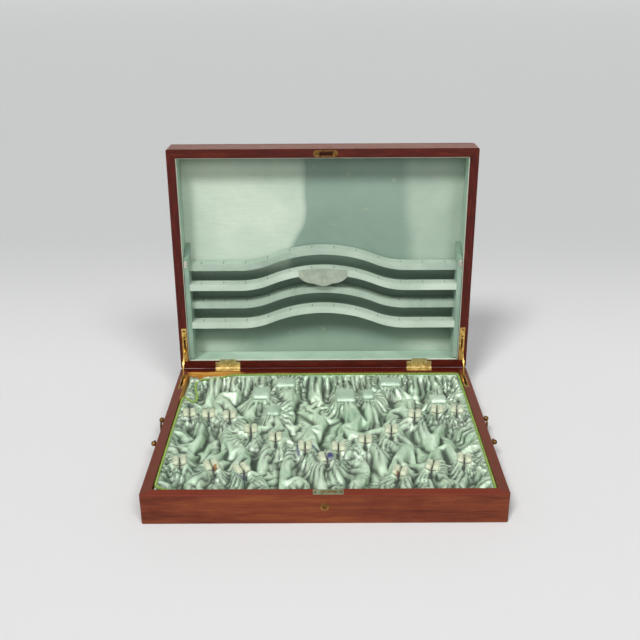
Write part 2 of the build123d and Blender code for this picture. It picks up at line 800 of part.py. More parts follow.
with BuildPart() as lid_rear:
    lid_board(2)
    for side in sides:
        recess(lid_rim, (hinge_centres[side], lid_leaf_s), hinge_width, lid_leaf_depth, leaf_thickness)
        recess(lid_rim, (hinge_centres[side], lid_leaf_depth), lid_tab_width, 2 * lid_tab_depth,
               lid_tab_thickness)
        barrel_notch(side)
        screw_seats(lid_rim, lid_hinge_screws(side))
save(lid_rear, "lid_rear")

for side, sign in sides.items():
    with BuildPart() as lid_side:
        lid_board(board_order.index(side))
        recess(lid_rim, (sign * stay_x, lid_plate_s), lid_plate_width, lid_plate_length,
               stay_plate_thickness)
        recess(lid_rim, (sign * stay_x, lid_slot_s), 2 * lug_outer, lid_slot_length, lid_mortise_depth)
        screw_seats(lid_rim, lid_stay_screws(side))
        with BuildSketch(lid_section(sign * inner_x)):
            with Locations((rack_pivot_s, rack_pivot_h)):
                Circle(rack_pivot_radius + seat_gap)
        extrude(amount=-sign * (rack_pivot_depth + seat_gap), mode=Mode.SUBTRACT)
    save(lid_side, "lid_" + side)

with BuildPart() as lid_top:
    with BuildSketch(lid_level(lid_wall_depth)):
        with Locations((0, half_depth)):
            Rectangle(width, depth)
    extrude(amount=-lid_top_thickness)
    add(lid_blank.part, mode=Mode.INTERSECT)
save(lid_top, "lid_top")

with BuildPart() as lid_back_lining:
    with BuildSketch(lid_level(lining_end)):
        with Locations((0, half_depth)):
            Rectangle(2 * inner_x, 2 * inner_y)
    extrude(amount=-back_lining)
save(lid_back_lining, "lid_back_lining")

for side, sign in sides.items():
    with BuildPart() as side_lining:
        with BuildSketch(lid_level(lining_start)):
            with Locations((sign * (inner_x - lining / 2), half_depth)):
                Rectangle(lining, 2 * inner_y)
        extrude(amount=lining_start - lining_end)
        with BuildSketch(lid_section(sign * inner_x + lining)):
            with Locations((rack_pivot_s, rack_pivot_h)):
                Circle(rack_pivot_radius + seat_gap)
        extrude(amount=2 * lining, mode=Mode.SUBTRACT)
    save(side_lining, "lid_lining_" + side)

end_lining_levels = {"lid_lining_rear": wall + lining / 2, "lid_lining_front": depth - wall - lining / 2}
for name, s in end_lining_levels.items():
    with BuildPart() as end_lining:
        with BuildSketch(lid_level(lining_start)):
            with Locations((0, s)):
                Rectangle(2 * (inner_x - lining), lining)
        extrude(amount=lining_start - lining_end)
    save(end_lining, name)

with BuildPart() as strike_plate:
    with BuildSketch(lid_rim):
        with Locations((lock_x, strike_s)):
            SlotOverall(strike_length, strike_width)
        with Locations(((hook_slot_left + hook_slot_right) / 2, strike_s)):
            Rectangle(hook_slot_right - hook_slot_left, strike_slot_width, mode=Mode.SUBTRACT)
    extrude(amount=-strike_thickness)
    screw_seats(lid_rim, strike_screws)
save(strike_plate, "strike_plate")

with BuildPart() as strike_screw_pair:
    screws(lid_rim, strike_screws)
save(strike_screw_pair, "strike_screws")

# ---------------------------------------------------------------- knife rack
rail_outer = inner_x - lining - rail_gap
rail_inner = rail_outer - rail_thickness
rail_heel = wall + lining + rail_foot
heel_radius = rack_pivot_s - rail_heel
stop_angle = radians(rack_tilt)


def heel_point(angle):
    """A point of the rail's heel, round its pivot."""
    return rack_pivot_s - heel_radius * cos(angle), rack_pivot_h - heel_radius * sin(angle)


heel_middle = heel_point(stop_angle / 2)
heel_tangent = heel_point(stop_angle)
stop_flat_end = (heel_tangent[0] + (heel_tangent[1] - rail_front) * tan(stop_angle), rail_front)
rail_depth = rail_back - rail_front

for side, sign in sides.items():
    with BuildPart() as rail:
        with BuildSketch(lid_section(sign * (rail_outer + rail_inner) / 2 + rail_thickness / 2)):
            with BuildLine():
                FilletPolyline((rail_crest, rail_back), (rail_heel, rail_back), (rail_heel, rack_pivot_h),
                               radius=rail_heel_round)
                ThreePointArc((rail_heel, rack_pivot_h), heel_middle, heel_tangent)
                Polyline(heel_tangent, stop_flat_end, (rail_shoulder, rail_front))
                Spline((rail_shoulder, rail_front),
                       (rail_shoulder + shoulder_lead, rail_front + shoulder_lead_share * rail_depth),
                       (rail_crest, rail_back), tangents=(shoulder_direction, crest_direction))
            make_face()
            with Locations((rack_pivot_s, rack_pivot_h)):
                Circle(rack_pivot_radius + running_gap, mode=Mode.SUBTRACT)
        extrude(amount=rail_thickness)
    save(rail, "rack_rail_" + side)

arch_angle = 2 * degrees(atan(arch_rise / arch_half_span))
arch_foot_radius = arch_half_span / sin(radians(arch_angle)) - arch_crest_radius


def arch_line(level):
    """Flat, hollow, crowned and flat again, from the left rail to the right one."""
    crest_centre = level + arch_rise - arch_crest_radius
    Line((-rail_inner, level), (-arch_half_span, level))
    CenterArc((-arch_half_span, level + arch_foot_radius), arch_foot_radius, -90, arch_angle)
    CenterArc((0, crest_centre), arch_crest_radius, 90 - arch_angle, 2 * arch_angle)
    CenterArc((arch_half_span, level + arch_foot_radius), arch_foot_radius, -90 - arch_angle, arch_angle)
    Line((arch_half_span, level), (rail_inner, level))


def arched_bar(level, front, back):
    """One bar of the rack, with a row of slits for the blades."""
    with BuildSketch(lid_level(front)) as bar_face:
        with BuildLine():
            arch_line(level)
            arch_line(level + bar_height)
            Line((-rail_inner, level), (-rail_inner, level + bar_height))
            Line((rail_inner, level), (rail_inner, level + bar_height))
        make_face()
    extrude(bar_face.sketch, amount=front - back)
    slit_pitch = 2 * rail_inner / blade_slits
    slit_places = [((n + 0.5) * slit_pitch - rail_inner, level + arch_rise / 2) for n in range(blade_slits)]
    slits = oblongs(lid_level((front + back - blade_slit_depth) / 2), slit_places,
                    blade_slit_width, arch_rise + 3 * bar_height)
    extrude(slits, amount=-blade_slit_depth, mode=Mode.SUBTRACT)


for name, level in back_bar_levels.items():
    with BuildPart() as back_bar:
        arched_bar(level, back_bar_front, back_bar_back)
    save(back_bar, name)

for name, level in front_bar_levels.items():
    with BuildPart() as front_bar:
        arched_bar(level, front_bar_front, front_bar_back)
    save(front_bar, name)

panel_top = front_bar_levels[name_panel_bar] + bar_height + arch_rise
panel_corner = panel_top - arch_crest_radius + sqrt(arch_crest_radius ** 2 - panel_half_width ** 2)
panel_shoulder_s = panel_corner - panel_shoulder
lobe_join = panel_top - panel_side_drop - panel_join_rise
panel_hip = panel_half_width - panel_hip_inset
panel_bottom = panel_top - panel_centre_drop - panel_lobe_sag

with BuildPart() as name_panel:
    with BuildSketch(lid_level(front_bar_front)):
        with BuildLine():
            ThreePointArc((-panel_half_width, panel_corner), (0, panel_top),
                          (panel_half_width, panel_corner))
            Line((panel_half_width, panel_corner), (panel_half_width, panel_shoulder_s))
            ThreePointArc((panel_half_width, panel_shoulder_s), (panel_hip, panel_top - panel_side_drop),
                          (panel_lobe_half, lobe_join))
            ThreePointArc((panel_lobe_half, lobe_join), (0, panel_bottom), (-panel_lobe_half, lobe_join))
            ThreePointArc((-panel_lobe_half, lobe_join), (-panel_hip, panel_top - panel_side_drop),
                          (-panel_half_width, panel_shoulder_s))
            Line((-panel_half_width, panel_shoulder_s), (-panel_half_width, panel_corner))
        make_face()
    extrude(amount=panel_thickness)
save(name_panel, "name_panel")

for side, sign in sides.items():
    catch_x = sign * (rail_outer - catch_width / 2)
    with BuildPart() as rack_catch:
        with BuildSketch(lid_level(rail_front)):
            with Locations((catch_x, catch_s)):
                RectangleRounded(catch_width, catch_length, catch_width / 4)
        extrude(amount=catch_thickness)
        with BuildSketch(lid_level(rail_front - catch_thickness)):
            with Locations((catch_x, catch_s)):
                with GridLocations(0, catch_bead_pitch, 1, 2):
                    Circle(catch_bead_radius)
        extrude(amount=catch_bead_height, taper=catch_bead_taper)
    save(rack_catch, "rack_catch_" + side)

with BuildPart() as rack_pivots:
    for sign in sides.values():
        with BuildSketch(lid_section(sign * (rail_inner - lining))):
            with Locations((rack_pivot_s, rack_pivot_h)):
                Circle(rack_pivot_head)
        extrude(amount=-sign * (lining - running_gap))
        with BuildSketch(lid_section(sign * rail_inner)):
            with Locations((rack_pivot_s, rack_pivot_h)):
                Circle(rack_pivot_radius)
        extrude(amount=-sign * (inner_x + rack_pivot_depth - rail_inner))
save(rack_pivots, "rack_pivots")
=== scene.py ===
"""Looks of a lined cutlery chest: polished mahogany, gathered satin, silk-covered rack and aged brass.

Shapes are worked out in mm and put in the scene in metres. Lengths in the materials are in metres.
"""
from math import cos, exp, pi, radians, sin

import bmesh
import bpy
import numpy as np
from mathutils import Matrix, Vector


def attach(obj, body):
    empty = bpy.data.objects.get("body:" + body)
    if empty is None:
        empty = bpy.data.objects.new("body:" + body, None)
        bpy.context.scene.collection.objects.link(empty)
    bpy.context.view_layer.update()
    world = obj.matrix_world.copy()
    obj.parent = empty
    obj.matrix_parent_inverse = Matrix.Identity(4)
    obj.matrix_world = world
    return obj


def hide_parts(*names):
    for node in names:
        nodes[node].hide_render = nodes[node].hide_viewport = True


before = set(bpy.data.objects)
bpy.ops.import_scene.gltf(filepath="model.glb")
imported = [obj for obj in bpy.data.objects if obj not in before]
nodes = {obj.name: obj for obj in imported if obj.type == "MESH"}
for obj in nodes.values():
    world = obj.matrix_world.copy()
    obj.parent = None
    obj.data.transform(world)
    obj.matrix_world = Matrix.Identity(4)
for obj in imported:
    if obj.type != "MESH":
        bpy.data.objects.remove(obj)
scene = bpy.context.scene
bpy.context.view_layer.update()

MM = 0.001

# ---- sizes shared with the part's source, in mm
INNER_X = 264.0  # half the inside of the tray and of the lid
INNER_Y = 199.0
WALL = 16.0
DEPTH = 430.0
HINGE_Y = 215.0
HINGE_Z = 52.0  # the base's rim has this height too
LID_ANGLE = radians(91.14)
LINING_START = 1.6  # depths below the lid's rim
LINING_END = 42.5
STRIP_FACES = (1.2, 0.02)  # distances of a lining strip's front and back from its wall
PAD_SIZE = (10.0, 24.0, 18.0)
PAD_TOP = 46.0
SLIT = 3.0  # between the two pads of a holder
HOLDER_ROWS = {  # (x, y, turn in degrees)
    "rear_row": [(-242, 57, 8), (-207, 53, 7), (-169, 49, 6), (163, 50, -6), (205, 66, -7), (241, 66, -8)],
    "middle_row": [(-127.5, 0, 4), (-83, -28, 3), (-32, -56, 2), (3, -91, 12), (24, -60, -1), (70, -35, -3),
                   (117, -4, -4)],
    "front_row": [(-236, -101, 9), (-182.5, -115, 22), (-133, -125, 27), (121, -134, -18), (175, -119, -18),
                  (229, -98, -9)],
}
HOLDERS = [holder for row in HOLDER_ROWS.values() for holder in row]
REST_HEIGHT = 17.0
BOWL_RESTS = [(-117, 131, 32, 40), (-73, 172, 38, 30), (-91, 64, 24, 32), (41, 121, 36, 46),
              (128, 174, 40, 30), (83, 125, 22, 32), (211.5, 104, 30, 26)]  # (x, y, width, length)
CORD_Z = 47.35
CORD_ROUTE = [(6.5, -197, CORD_Z), (254, -197, CORD_Z), (261, -196, CORD_Z), (262, -189, CORD_Z),
              (262, 189, CORD_Z), (261, 196, CORD_Z), (254, 197, CORD_Z), (-168, 197, CORD_Z),
              (-187, 195, 45.5), (-198, 190, 43.5), (-221, 189, 42), (-240, 186, 41.5), (-246, 172, 41.5),
              (-245, 153, 41.5), (-239, 133, 42), (-235, 113, 43), (-235.5, 94, 44.5), (-243, 90.5, 45),
              (-252, 102, 46), (-259, 108, 47), (-262, 94, CORD_Z), (-262, -176, CORD_Z),
              (-261, -183, CORD_Z), (-246, -193, CORD_Z), (-232, -197, CORD_Z), (5.5, -197, CORD_Z)]


def lid_point(x, s, h):
    """A point of the open lid, in metres: s up from the hinge along the rim, h in from the rim, all in mm."""
    y = HINGE_Y - s * cos(LID_ANGLE) + h * sin(LID_ANGLE)
    z = HINGE_Z + s * sin(LID_ANGLE) + h * cos(LID_ANGLE)
    return Vector((x, y, z)) * MM


OUT_OF_LID = lid_point(0, 0, -1000.0) - lid_point(0, 0, 0)  # from the lid's rim towards the front
LID_RIM_LEVEL = lid_point(0, 0, 0.2).dot(OUT_OF_LID)


# ---- materials
def rgb(*levels):
    """A colour given as a screen shows it, 0 to 255."""
    shown = [level / 255 for level in levels]
    return (*(v / 12.92 if v <= 0.04045 else ((v + 0.055) / 1.055) ** 2.4 for v in shown), 1.0)


class Graph:
    """A material and the nodes in it. Most methods add a node and return its output."""

    def __init__(self, name):
        self.material = bpy.data.materials.new(name)
        self.material.use_nodes = True
        self.tree = self.material.node_tree
        self.tree.nodes.clear()

    def node(self, kind, inputs=None, **settings):
        made = self.tree.nodes.new("ShaderNode" + kind)
        for name, value in settings.items():
            setattr(made, name, value)
        for key, value in (inputs or {}).items():
            if isinstance(value, bpy.types.NodeSocket):
                self.tree.links.new(value, made.inputs[key])
            elif value is not None:
                made.inputs[key].default_value = value
        return made

    def out(self, kind, inputs=None, output=0, **settings):
        return self.node(kind, inputs, **settings).outputs[output]

    def place(self):
        return self.out("TexCoord", output="Object")

    def axes(self):
        return self.node("SeparateXYZ", {0: self.place()}).outputs

    def along(self, direction):
        """How far a place lies along a direction."""
        return self.out("VectorMath", {0: self.place(), 1: direction}, 1, operation="DOT_PRODUCT")

    def stretch(self, scale, offset=(0, 0, 0)):
        return self.out("Mapping", {"Vector": self.place(), "Location": offset, "Scale": scale})

    def noise(self, vector, scale, detail, roughness=0.5, distortion=0.0):
        return self.out("TexNoise", {"Vector": vector, "Scale": scale, "Detail": detail,
                                     "Roughness": roughness, "Distortion": distortion}, "Fac")

    def maths(self, operation, first, second=0.0):
        return self.out("Math", {0: first, 1: second}, operation=operation)

    def times(self, first, *others):
        for other in others:
            first = self.maths("MULTIPLY", first, other)
        return first

    def plus(self, first, second):
        return self.maths("ADD", first, second)

    def from_middle(self, value):
        """Distance of a noise from its middle: 0 along sharp, winding lines."""
        return self.maths("ABSOLUTE", self.maths("SUBTRACT", value, 0.5))

    def ribs(self, where, pitch):
        return self.maths("SINE", self.times(where, 2 * pi / pitch))

    def fade(self, value, low, high, to_low=0.0, to_high=1.0):
        return self.out("MapRange", {"Value": value, "From Min": low, "From Max": high, "To Min": to_low,
                                     "To Max": to_high}, interpolation_type="SMOOTHSTEP")

    def ramp(self, value, *stops):
        made = self.node("ValToRGB", {"Fac": value})
        elements = made.color_ramp.elements
        while len(elements) < len(stops):
            elements.new(0.5)
        for element, (position, colour) in zip(elements, stops):
            element.position = position
            element.color = colour
        return made.outputs[0]

    def mix(self, factor, first, second, blend="MIX"):
        return self.out("Mix", {0: factor, 6: first, 7: second}, 2, data_type="RGBA", blend_type=blend)

    def near(self, centre, radii):
        """1 at a point and 0 beyond an ellipsoid about it."""
        scaled = self.stretch(tuple(1 / radius for radius in radii),
                              tuple(-place / radius for place, radius in zip(centre, radii)))
        return self.fade(self.out("VectorMath", {0: scaled}, 1, operation="LENGTH"), 0.35, 1.0, 1.0, 0.0)

    def bump(self, height, distance, strength, under=None):
        return self.out("Bump", {"Height": height, "Distance": distance, "Strength": strength,
                                 "Normal": under})

    def finish(self, colour, roughness, normal=None, **constants):
        inputs = {name.replace("_", " "): value for name, value in constants.items()}
        shader = self.node("BsdfPrincipled", {"Base Color": colour, "Roughness": roughness,
                                              "Normal": normal, **inputs})
        self.node("OutputMaterial", {"Surface": shader.outputs[0]})
        return self.material


def both_sides(names):
    """The names in a string, with * as left and as right."""
    return [name.replace("*", side) for name in names.split() for side in ("left", "right")]


def paint(names, made):
    """Gives all material slots of the CAD nodes in a string a material."""
    for name in both_sides(names):
        for slot in nodes[name].material_slots:
            slot.material = made


# ---- wood
GRAIN = {"x": (1.0, 12.0, 12.0), "y": (12.0, 1.0, 12.0), "z": (12.0, 12.0, 1.0)}
RED_DARK = rgb(94, 40, 22)
RED_MIDDLE = rgb(124, 60, 33)
RED_LIGHT = rgb(146, 82, 42)
PORE = rgb(52, 14, 10)
DEAL_DARK = rgb(176, 110, 40)
DEAL_LIGHT = rgb(228, 172, 86)
BARE_X = (-0.150, -0.172)  # where the satin has come off: bare from the first to the second
BARE_Y = (0.080, 0.100)
BASE_RIM = ((0.0, 0.0, 1.0), HINGE_Z * MM)
LID_RIM = (tuple(OUT_OF_LID), LID_RIM_LEVEL)
SIDE_RIM = rgb(112, 60, 46)
FRONT_RIM = rgb(124, 50, 32)


def mahogany(name, along, seed, rim=None, rim_colour=None, painted_reflection=None, bare_inside=False):
    """French-polished mahogany with its grain along an axis. rim is the direction that the rim faces and its
    level along it. A pale colour may be mixed in as a painted reflection of the light."""
    g = Graph(name)
    offset = (seed * 1.7, seed * 2.3, seed * 0.9)
    space = g.stretch(GRAIN[along], offset)
    broad = g.noise(space, 5.0, 4.0, 0.55, 0.9)
    stripes = g.noise(space, 26.0, 5.0, 0.6, 0.4)
    cloud = g.noise(g.stretch((1, 1, 1), offset), 7.5, 3.0, 0.5, 0.5)
    figure = g.plus(g.times(broad, 0.55), g.times(stripes, 0.45))
    colour = g.ramp(figure, (0.34, RED_DARK), (0.50, RED_MIDDLE), (0.66, RED_LIGHT))
    shade = g.ramp(cloud, (0.30, rgb(196, 150, 160)), (0.50, rgb(236, 222, 222)), (0.70, rgb(255, 252, 236)))
    colour = g.mix(0.85, colour, shade, "MULTIPLY")
    # Painted reflection: a pale colour mixed into the wood, for the glare on the lid front's outer face.
    if painted_reflection:
        colour = g.mix(0.16, colour, painted_reflection)
    pores = g.noise(g.stretch(tuple(v * 3.2 for v in GRAIN[along]), offset), 95.0, 2.0, 0.6)
    pore_mask = g.fade(pores, 0.60, 0.72)
    colour = g.mix(g.times(pore_mask, 0.55), colour, PORE)
    if rim:
        direction, level = rim
        mask = g.fade(g.along(direction), level - 0.0011, level - 0.0006)
        streaked = g.ramp(stripes, (0.30, rgb(58, 10, 7)), (0.56, rgb(80, 19, 11)), (0.76, rgb(112, 42, 18)))
        colour = g.mix(g.times(mask, 0.94), colour, rim_colour or streaked)
    scuffs = g.noise(g.place(), 60.0, 5.0, 0.7)
    roughness = g.fade(scuffs, 0.35, 0.75, 0.32, 0.40)
    if bare_inside:
        x, y, _ = g.axes()
        inside_x = g.fade(g.maths("ABSOLUTE", x), (INNER_X + 0.6) * MM, (INNER_X + 0.2) * MM)
        inside_y = g.fade(g.maths("ABSOLUTE", y), (INNER_Y + 0.6) * MM, (INNER_Y + 0.2) * MM)
        inside = g.times(g.times(g.times(inside_x, inside_y), g.fade(x, *BARE_X)), g.fade(y, *BARE_Y))
        colour = g.mix(inside, colour, g.ramp(stripes, (0.35, DEAL_DARK), (0.65, DEAL_LIGHT)))
        roughness = g.maths("MAXIMUM", roughness, g.times(inside, 0.65))
    normal = g.bump(g.noise(g.place(), 22.0, 2.0), 0.0003, 0.08)
    normal = g.bump(pore_mask, 0.00006, -0.2, normal)
    return g.finish(colour, roughness, normal, Coat_Weight=0.08, Coat_Roughness=0.2, Specular_IOR_Level=0.2)


for seed, (name, along, look) in enumerate((
        ("base_front", "x", {"rim": BASE_RIM, "rim_colour": FRONT_RIM}),
        ("base_rear", "x", {"rim": BASE_RIM, "bare_inside": True}),
        ("base_left", "y", {"rim": BASE_RIM, "rim_colour": SIDE_RIM, "bare_inside": True}),
        ("base_right", "y", {"rim": BASE_RIM, "rim_colour": SIDE_RIM, "bare_inside": True}),
        # The lid's front gets a painted reflection, a pale colour for the glare on its outer face.
        ("lid_front", "x", {"rim": LID_RIM, "painted_reflection": rgb(176, 124, 98)}),
        ("lid_rear", "x", {"rim": LID_RIM}),
        ("lid_left", "z", {"rim": LID_RIM}),
        ("lid_right", "z", {"rim": LID_RIM}),
        ("lid_top", "x", {})), 1):
    paint(name, mahogany(name + "_mahogany", along, seed, **look))


def plain_wood(name, seed, dark, light):
    g = Graph(name)
    rings = g.noise(g.stretch(GRAIN["x"], (seed, seed, seed)), 16.0, 5.0, 0.55, 0.8)
    colour = g.ramp(rings, (0.32, dark), (0.68, light))
    fibres = g.noise(g.stretch(tuple(v * 3.0 for v in GRAIN["x"]), (seed, 0, 0)), 110.0, 3.0, 0.6)
    colour = g.mix(g.fade(fibres, 0.55, 0.8, 0.0, 0.45), colour, dark)
    roughness = g.fade(rings, 0.3, 0.7, 0.72, 0.56)
    return g.finish(colour, roughness, g.bump(fibres, 0.00015, 0.4), Specular_IOR_Level=0.35)


paint("base_bottom", plain_wood("bottom_board", 11, rgb(112, 62, 34), rgb(160, 104, 62)))
paint("fitting_board", plain_wood("fitting_board_deal", 12, rgb(150, 104, 58), rgb(196, 152, 98)))


# ---- metal
def metal(name, bright, dull, dark, seed, gloss=(0.24, 0.46), grime=0.5):
    """Old lacquered or bare metal: bright wear, dull film and dark spots. gloss is the roughness of bright
    and of dull metal."""
    g = Graph(name)
    space = g.stretch((1, 1, 1), (seed, seed * 2.0, -seed))
    film = g.noise(space, 130.0, 5.0, 0.6, 0.4)
    spots = g.noise(space, 420.0, 4.0, 0.65)
    colour = g.ramp(film, (0.36, dull), (0.62, bright))
    colour = g.mix(g.times(g.fade(spots, 0.56, 0.74), grime), colour, dark)
    roughness = g.fade(film, 0.35, 0.7, gloss[1], gloss[0])
    scratches = g.noise(g.stretch((1.0, 9.0, 9.0), (seed, 0, 0)), 300.0, 3.0, 0.6)
    return g.finish(colour, roughness, g.bump(scratches, 0.00006, 0.35), Metallic=0.92)


BRASS = metal("aged_brass", rgb(226, 188, 104), rgb(150, 112, 54), rgb(58, 40, 20), 1.0)
BRIGHT_BRASS = metal("stay_brass", rgb(240, 204, 118), rgb(196, 152, 72), rgb(84, 58, 26), 2.0, (0.2, 0.36),
                     0.3)
DARK_BRASS = metal("dark_brass", rgb(158, 118, 64), rgb(86, 60, 32), rgb(30, 20, 12), 3.0, (0.3, 0.52), 0.6)
PALE_BRASS = metal("pale_brass", rgb(226, 222, 194), rgb(190, 182, 142), rgb(100, 88, 58), 5.0, (0.26, 0.44),
                   0.35)
WORN_BRASS = metal("worn_brass", rgb(232, 214, 158), rgb(176, 150, 92), rgb(70, 50, 28), 6.0, (0.3, 0.5),
                   0.65)
NICKEL = metal("worn_nickel", rgb(236, 234, 226), rgb(196, 190, 176), rgb(96, 84, 66), 4.0, (0.3, 0.5), 0.35)
for made, names in (
        (BRASS, "hinge_base_screws hinge_lid_screws stay_pivot_pins lock_case"),
        (BRIGHT_BRASS, "stay_base_plate_* stay_lid_plate_* stay_arm_*"),
        (DARK_BRASS, "stay_base_screws stay_lid_screws handle_posts_* bail_* lock_screws escutcheon "
                     "strike_plate strike_screws"),
        (PALE_BRASS, "lock_selvage lock_hook"),
        (WORN_BRASS, "hinge_base_leaf_* hinge_lid_leaf_* hinge_pins"),
        (NICKEL, "rack_catch_* rack_pivots")):
    paint(names, made)

# ---- silk of the rack
ALONG_X = (1.0, 0.0, 0.0)
ALONG_Z = (0.0, 0.0, 1.0)
RIB_PITCH = 0.0011
RIB_LINE = rgb(70, 100, 84)
FRAYED = rgb(222, 226, 206)
SILK_SHEEN = rgb(220, 240, 225)


def ribbed_silk(name, seed, light, dark, across, frayed=False):
    """Fine-ribbed silk. across is the direction across its ribs. Frayed silk is pale near the lid's rim."""
    g = Graph(name)
    ribs = g.ribs(g.along(across), RIB_PITCH)
    slubs = g.noise(g.stretch(tuple(1.0 + 14.0 * abs(v) for v in across), (seed, seed, seed)), 60.0, 4.0, 0.6)
    patches = g.noise(g.stretch((1, 1, 1), (seed, -seed, seed)), 9.0, 4.0, 0.55, 0.6)
    colour = g.ramp(patches, (0.32, dark), (0.66, light))
    colour = g.mix(g.fade(slubs, 0.35, 0.75, 0.0, 0.28), colour, light)
    if frayed:
        reach = g.along(tuple(OUT_OF_LID))
        ragged = g.noise(g.stretch((1, 1, 1), (seed, 0, seed)), 90.0, 4.0, 0.7)
        start = g.fade(ragged, 0.3, 0.7, LID_RIM_LEVEL - 0.0060, LID_RIM_LEVEL - 0.0022)
        colour = g.mix(g.times(g.maths("GREATER_THAN", reach, start), 0.8), colour, FRAYED)
    colour = g.mix(g.fade(ribs, -1.0, 1.0, 0.0, 0.10), colour, RIB_LINE)
    roughness = g.fade(slubs, 0.3, 0.8, 0.62, 0.46)
    normal = g.bump(slubs, 0.00018, 0.4, g.bump(ribs, 0.00005, 0.5))
    return g.finish(colour, roughness, normal, Sheen_Weight=0.25, Sheen_Roughness=0.45,
                    Sheen_Tint=SILK_SHEEN, Specular_IOR_Level=0.4)


def blank_card():
    """Worn card for the rack's bare name panel."""
    g = Graph("bare_satin_card")
    weave = g.noise(g.stretch((1.0, 1.0, 6.0)), 500.0, 2.0)
    age = g.noise(g.place(), 70.0, 4.0, 0.6)
    colour = g.ramp(age, (0.34, rgb(150, 162, 146)), (0.66, rgb(178, 186, 168)))
    return g.finish(colour, g.fade(weave, 0.3, 0.7, 0.5, 0.36), g.bump(weave, 0.00006, 0.4), Sheen_Weight=0.2)


for names, made in (
        ("rack_bar_upper_front rack_bar_lower_front",
         ribbed_silk("rack_silk_ribbed", 3.0, rgb(210, 224, 208), rgb(180, 198, 180), ALONG_X)),
        # The back bars get a darker copy of the bars' silk: painted shade from the lid's top wall and the
        # front bars.
        ("rack_bar_upper_back rack_bar_lower_back",
         ribbed_silk("back_bar_silk_painted_shade", 7.0, rgb(188, 204, 188), rgb(154, 174, 158), ALONG_X)),
        ("rack_rail_*",
         ribbed_silk("rail_silk_ribbed", 4.0, rgb(156, 182, 164), rgb(118, 146, 128), ALONG_Z)),
        ("name_panel", blank_card())):
    paint(names, made)
    for name in set(both_sides(names)):
        softened = nodes[name].modifiers.new("soft_edge", "BEVEL")
        softened.width = 0.9 * MM
        softened.segments = 3
        softened.limit_method = "ANGLE"
        softened.angle_limit = radians(50)


# ---- mesh helpers
def scene_object(name, data):
    made = bpy.data.objects.new(name, data)
    scene.collection.objects.link(made)
    return made


def mesh_object(name, points, faces, made, smooth=True):
    mesh = bpy.data.meshes.new(name)
    mesh.from_pydata([tuple(p) for p in points], [], [tuple(f) for f in faces])
    mesh.validate()
    mesh.update()
    mesh.materials.append(made)
    mesh.polygons.foreach_set("use_smooth", [smooth] * len(mesh.polygons))
    return scene_object(name, mesh)


def mesh_piece(name, points, faces, body, made, slot):
    """A piece of the chest that rides on a body. Points in metres."""
    piece = mesh_object(name, points, faces, made)
    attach(piece, body)
    return piece


def grid_faces(rows, columns):
    number = np.arange(rows * columns).reshape(rows, columns)
    return np.stack([number[:-1, :-1], number[1:, :-1], number[1:, 1:], number[:-1, 1:]], -1).reshape(-1, 4)


def smooth_step(value, low, high):
    part = np.clip((value - low) / (high - low), 0, 1)
    return part * part * (3 - 2 * part)


def slab_faces(rows, columns):
    """Faces of a closed slab between two grids of points, the front one first."""
    count = rows * columns
    face = grid_faces(rows, columns)
    number = np.arange(count).reshape(rows, columns)
    rim = np.concatenate([number[:-1, 0], number[-1, :-1], number[:0:-1, -1], number[0, :0:-1]])
    after = np.roll(rim, -1)
    sides = np.stack([rim, after, after + count, rim + count], -1)
    return np.concatenate([face[:, ::-1], face + count, sides])


